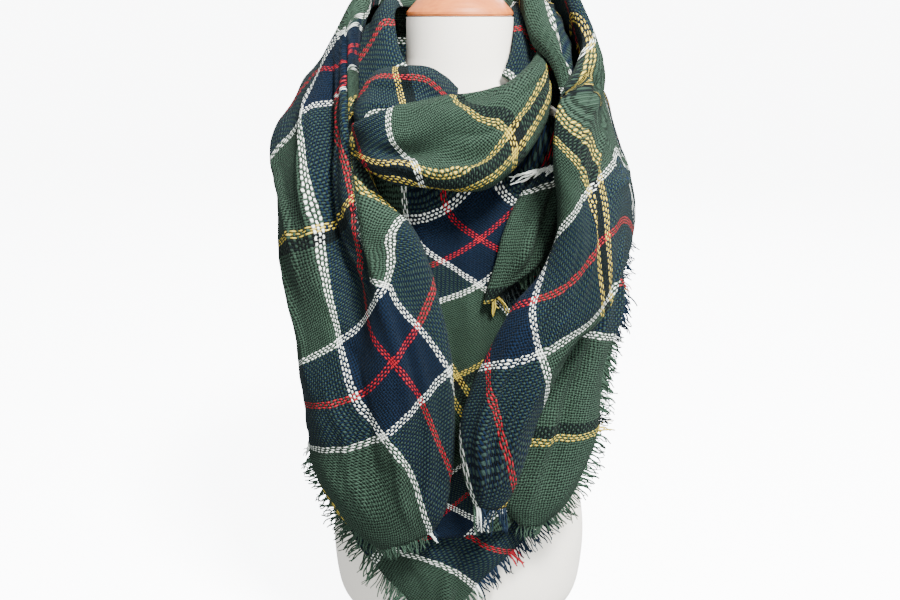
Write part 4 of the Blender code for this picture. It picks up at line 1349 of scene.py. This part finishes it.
def fringe_piece(name, rim, reach, droop, lean, yarns, template):
    """A row of loose yarns along an edge."""
    rng = np.random.default_rng(len(name) * 31)
    line, off, out, square = rim
    count = int(np.linalg.norm(np.diff(line, axis=0), axis=1).sum() / YARNS_APART)
    places = evenly(line, count)
    places += rng.uniform(-0.4, 0.4, len(places)) * len(line) / count
    line, off, out, square = read_at(np.clip(places, 0, len(line) - 1), rim)
    along = unit(np.gradient(line, axis=0))
    off = unit(unit(off) - along * np.sum(unit(off) * along, axis=1, keepdims=True))
    shape = bmesh.new()
    for _ in range(len(line)):
        shape.from_mesh(template)
    shape.verts.ensure_lookup_table()
    per_yarn = SIDES * RINGS
    bunch = np.cumsum(rng.uniform(0, 1, len(line)) < BUNCH_ENDS)
    bunch_lean = rng.uniform(-0.55, 0.55, bunch[-1] + 1)
    bunch_reach = rng.uniform(0.75, 1.2, bunch[-1] + 1)
    for number in range(len(line)):
        group = bunch[number]
        grow = reach * bunch_reach[group] * rng.uniform(0.75, 1.2)
        outwards = -along[number] - 0.2 * off[number] if yarns == "white" else off[number]
        way = (outwards + along[number] * (bunch_lean[group] + rng.uniform(-0.3, 0.3))
               + out[number] * (lean * rng.uniform(0.3, 1.1) + rng.uniform(-0.05, 0.25)))
        kink = rng.uniform(4.0, 9.0)
        start = rng.uniform(0, 2 * math.pi)
        strength = rng.uniform(0.4, 1.2)
        curl = along[number] * rng.uniform(-0.5, 0.5) + out[number] * rng.uniform(-0.1, 0.4)
        spot = line[number] - off[number] * ROOT + out[number] * rng.uniform(-0.4, 0.5)
        turn = rng.uniform(0, 2 * math.pi)
        thick = LOOSE_YARN * rng.uniform(0.7, 1.2)
        for ring in range(RINGS):
            t = ring / (RINGS - 1)
            wiggle = strength * t * (along[number] * math.sin(kink * t + start)
                                     + out[number] * 0.5 * math.cos(kink * t + start))
            heading = unit(way + curl * t + wiggle + np.array([0, 0, -droop - 0.9 * droop * t]))
            side = unit(np.cross(heading, out[number] + 0.01))
            other = np.cross(heading, side)
            radius = thick * (1.0 - TAPER * t**2)
            for corner in range(SIDES):
                angle = turn + 2 * math.pi * corner / SIDES + TWIST * t
                point = spot + radius * (side * math.cos(angle) + other * math.sin(angle))
                shape.verts[number * per_yarn + ring * SIDES + corner].co = point * MM
            spot = spot + heading * grow / (RINGS - 1)
    layer = shape.loops.layers.uv["cloth"]
    shape.verts.index_update()
    for face in shape.faces:
        number = face.verts[0].index // per_yarn
        spot = (0, 0) if yarns == "white" else square[number] * MM
        for loop in face.loops:
            loop[layer].uv = spot
    bmesh.ops.recalc_face_normals(shape, faces=shape.faces)
    print(name, "has", len(line), "loose yarns")
    return finished(name, shape, WEFT_YARN if yarns == "weft" else WARP_YARN)


# %% Grow every row
YARN_MESH = one_yarn()
fringe_pieces = {}
for name, stretch, edge, start, end, reach, droop, lean, yarns in FRINGES:
    rim = edge_line(laid[stretch], edge, start, end)
    fringe = fringe_piece(name + "_yarns", rim, reach, droop, lean, yarns, YARN_MESH)
    fringe_pieces[name] = (stretch, fringe)
bpy.data.meshes.remove(YARN_MESH)

# %% [markdown]
# ## The dress form
# The form is a padded torso under a tight cream jersey, and it stands on its flat base. Its solid
# has 24 flat sides, so this smooth one takes its place: one ring is drawn round the base and then
# extruded upwards, and each new ring is set to the size that the form has at its height.

# %% The jersey and the form
def jersey():
    """Fine cream jersey, with the faint ribs of its knit and painted shade in the grooves between
    them.
    """
    material, tree, shader = new_material("cream jersey", 0.85)
    ribs = noise(tree, stretched(tree, own_place(tree), (1.0, 1.0, 0.7)), 1300.0, 2.0, 0.5)
    tone = mapped(tree, noise(tree, own_place(tree), 9.0, 3.0, 0.5), 0.3, 0.7, 0.0, 1.0)
    cream = blended(tree, tone, (0.88, 0.84, 0.75, 1), (0.92, 0.885, 0.80, 1))
    # painted shade: the cream darkens where the ribs' bump is low, in the grooves between them
    between = mapped(tree, ribs, 0.35, 0.65, 0.35, 0.0)
    thread = blended(tree, between, cream, (0.78, 0.75, 0.68, 1))
    tree.links.new(thread, shader.inputs["Base Color"])
    bumped(tree, shader, ribs, 0.25, 0.0004)
    shader.inputs["Sheen Weight"].default_value = 0.1
    shader.inputs["Specular IOR Level"].default_value = 0.2
    return material


SMOOTH_SIDES = 96
SMOOTH_LEVELS = 5  # how many rings stand for each level of the form's table


def set_ring(verts, row):
    """Moves a ring of verts to one level of the form: two half ellipses."""
    height, half, front, back = row
    verts.sort(key=lambda vert: math.atan2(vert.co.y, vert.co.x) % (2 * math.pi))
    for k, vert in enumerate(verts):
        angle = 2 * math.pi * k / SMOOTH_SIDES
        depth = front if math.sin(angle) < 0 else back
        vert.co = Vector((half * math.cos(angle), depth * math.sin(angle), height)) * MM


def raised_rings(name, rows, material):
    """A closed body, extruded ring by ring through rows of height, half width and depths."""
    shape = bmesh.new()
    base = bmesh.ops.create_circle(shape, cap_ends=True, segments=SMOOTH_SIDES, radius=1.0)
    face = list(shape.faces)[0]
    set_ring(base["verts"], rows[0])
    for number, row in enumerate(rows[1:]):
        grown = bmesh.ops.extrude_face_region(shape, geom=[face], use_keep_orig=number == 0)
        face = next(part for part in grown["geom"] if isinstance(part, bmesh.types.BMFace))
        set_ring(list(face.verts), row)
    bmesh.ops.recalc_face_normals(shape, faces=shape.faces)
    piece = finished(name, shape, material)
    piece.data.set_sharp_from_angle(angle=math.radians(50))
    print(name, "has", len(piece.data.polygons), "faces")
    return piece


levels = len(FORM_LEVELS) - 1
rings = through(FORM_LEVELS, np.linspace(0, levels, levels * SMOOTH_LEVELS + 1))
form = raised_rings("torso_and_neck", rings, jersey())

# %% [markdown]
# ## The turned cap
# A round of pale wood closes the neck. It was turned on a lathe, so it is a profile carried round
# an axis: widest just above the jersey, drawn in to a soft shoulder, and domed on top.

# %% The wood and the cap
# height above the neck's top, and how wide it is there as a share of the neck
CAP_PROFILE = [
    (0.5, 0.955), (1.2, 0.985), (2.6, 1.0), (5.0, 0.992), (8.5, 0.945), (12.0, 0.885),
    (15.5, 0.83), (18.5, 0.775), (21.5, 0.70), (24.5, 0.59), (27.2, 0.45), (29.4, 0.28),
    (30.8, 0.10), (31.0, 0.02),
]


def pale_wood():
    """Pale turned wood under a thin satin varnish."""
    material, tree, shader = new_material("pale turned wood", 0.38)
    lengthwise = stretched(tree, own_place(tree), (1.2, 9.0, 9.0))
    grain = noise(tree, lengthwise, 26.0, 5.0, 0.6)
    pores = noise(tree, lengthwise, 160.0, 2.0, 0.5)
    band = mapped(tree, grain, 0.32, 0.68, 0.0, 1.0)
    wood = blended(tree, band, (0.50, 0.145, 0.028, 1), (0.38, 0.095, 0.018, 1))
    fleck = mapped(tree, pores, 0.55, 0.75, 0.0, 0.35)
    wood = blended(tree, fleck, wood, (0.45, 0.18, 0.08, 1))
    tree.links.new(wood, shader.inputs["Base Color"])
    shader.inputs["Coat Weight"].default_value = 0.12
    shader.inputs["Coat Roughness"].default_value = 0.3
    bumped(tree, shader, grain, 0.08, 0.0004)
    return material


turned = [(NECK_TOP + height, *(size * share for size in FORM_LEVELS[-1][1:]))
          for height, share in CAP_PROFILE]
cap = raised_rings("turned_cap", turned, pale_wood())

# %% [markdown]
# ## Floor and light
# The picture has a plain white ground and soft light, strongest from above and a little to the
# right. The floor is a wide pale bowl whose wall stands behind everything. It glows, so it stays
# white, but its glow is kept off the cloth, where it would wash the dark yarns out. Big lamps
# give shadows with soft edges.

# %% The floor
def pale_floor():
    """A matt pale floor that glows, with the faintest unevenness."""
    material, tree, shader = new_material("pale floor", 0.9)
    tone = mapped(tree, noise(tree, own_place(tree), 3.0, 3.0, 0.5), 0.3, 0.7, 0.0, 1.0)
    pale = blended(tree, tone, (0.90, 0.91, 0.92, 1), (0.93, 0.94, 0.95, 1))
    tree.links.new(pale, shader.inputs["Base Color"])
    shader.inputs["Emission Color"].default_value = (0.97, 0.985, 1.0, 1.0)
    shader.inputs["Emission Strength"].default_value = 8.0
    return material


BOWL_RADIUS, BOWL_HEIGHT, BOWL_SIDES = 7.0, 6.0, 64
BOWL_BEND = 2.5  # the radius of the curve between the floor and the wall


def studio_bowl():
    """A round floor that curves up into a wall on every side, as a studio's sweep does."""
    shape = bmesh.new()
    flat = BOWL_RADIUS - BOWL_BEND
    bmesh.ops.create_circle(shape, cap_ends=True, segments=BOWL_SIDES, radius=flat)
    edges = [edge for edge in shape.edges if edge.is_boundary]
    turns = [math.radians(degrees) for degrees in range(10, 91, 10)]
    curve = [(flat + BOWL_BEND * math.sin(turn), BOWL_BEND - BOWL_BEND * math.cos(turn))
             for turn in turns]
    for wide, tall in [*curve, (BOWL_RADIUS, BOWL_HEIGHT)]:
        grown = bmesh.ops.extrude_edge_only(shape, edges=edges)["geom"]
        verts = [part for part in grown if isinstance(part, bmesh.types.BMVert)]
        for vert in verts:
            spot = Vector((vert.co.x, vert.co.y, 0)).normalized() * wide
            vert.co = (spot.x, spot.y, tall)
        edges = [part for part in grown if isinstance(part, bmesh.types.BMEdge)]
    bmesh.ops.recalc_face_normals(shape, faces=shape.faces)
    bmesh.ops.reverse_faces(shape, faces=shape.faces)
    return finished("floor", shape, pale_floor())


floor = studio_bowl()
# the bowl is seen, but it throws no light of its own on the cloth
floor.visible_diffuse = False
floor.visible_glossy = False
print("floor faces:", len(floor.data.polygons))

# %% The lamps and the sky
def lamp(name, place, aim, size, power, colour):
    """A big soft square lamp that looks at a point."""
    data = bpy.data.lights.new(name, "AREA")
    data.size = size
    data.energy = power
    data.color = colour
    thing = bpy.data.objects.new(name, data)
    scene.collection.objects.link(thing)
    thing.location = place
    thing.rotation_euler = (Vector(aim) - Vector(place)).to_track_quat("-Z", "Y").to_euler()


MIDDLE = (0.0, 0.0, 0.45)
lamp("key", (0.75, -1.4, 2.5), MIDDLE, 0.6, 370.0, (1.0, 0.985, 0.96))
lamp("fill", (1.9, -1.7, 1.0), MIDDLE, 1.6, 45.0, (0.93, 0.97, 1.0))
lamp("low", (0.2, -2.4, 0.3), (0.0, 0.0, 0.1), 1.4, 26.0, (1.0, 0.95, 0.87))
lamp("back", (0.5, 2.2, 1.9), MIDDLE, 1.6, 60.0, (0.95, 0.98, 1.0))
sky = bpy.data.worlds.new("soft white")
scene.world = sky
sky.use_nodes = True
glow = sky.node_tree.nodes["Background"].inputs
glow["Color"].default_value = (0.95, 0.975, 1.0, 1.0)
glow["Strength"].default_value = 1.05

# %% [markdown]
# ## Putting it together
# Every piece is hung on the body that it rides on, and the solid that it stands for is hidden.

# %% Dress the model
# stretch, material slot, how it is held, what it rests on
HELD = [
    ("collar", "mixed_plaid", "draped", ["dress_form"]),
    ("point", "green_plaid", "draped", ["dress_form"]),
    ("front_panel", "navy_plaid", "draped", ["dress_form", "collar", "point"]),
    ("corner_tip", "green_plaid", "draped", ["front_panel"]),
    ("left_tail", "mixed_plaid", "draped", ["dress_form", "collar", "front_panel"]),
    ("roll", "mixed_plaid", "folded", ["front_panel", "left_tail"]),
    ("swoop", "green_plaid", "draped", ["front_panel", "left_tail"]),
    ("neck_fold", "green_plaid", "folded", ["collar", "swoop"]),
    ("right_back", "green_plaid", "draped", ["dress_form"]),
    ("right_under", "green_plaid", "draped", ["dress_form", "front_panel"]),
    ("right_tail", "mixed_plaid", "draped", ["right_under", "swoop", "dress_form"]),
]
for name, finish, held, rests_on in HELD:
    piece = cloth_pieces[name]
    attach(piece, "root")
    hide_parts(name)
for name, (stretch, fringe) in fringe_pieces.items():
    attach(fringe, "root")
    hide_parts(name)
for piece, node, finish in ((form, "dress_form", "cream_jersey"), (cap, "neck_cap", "turned_wood")):
    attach(piece, "root")
    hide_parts(node)
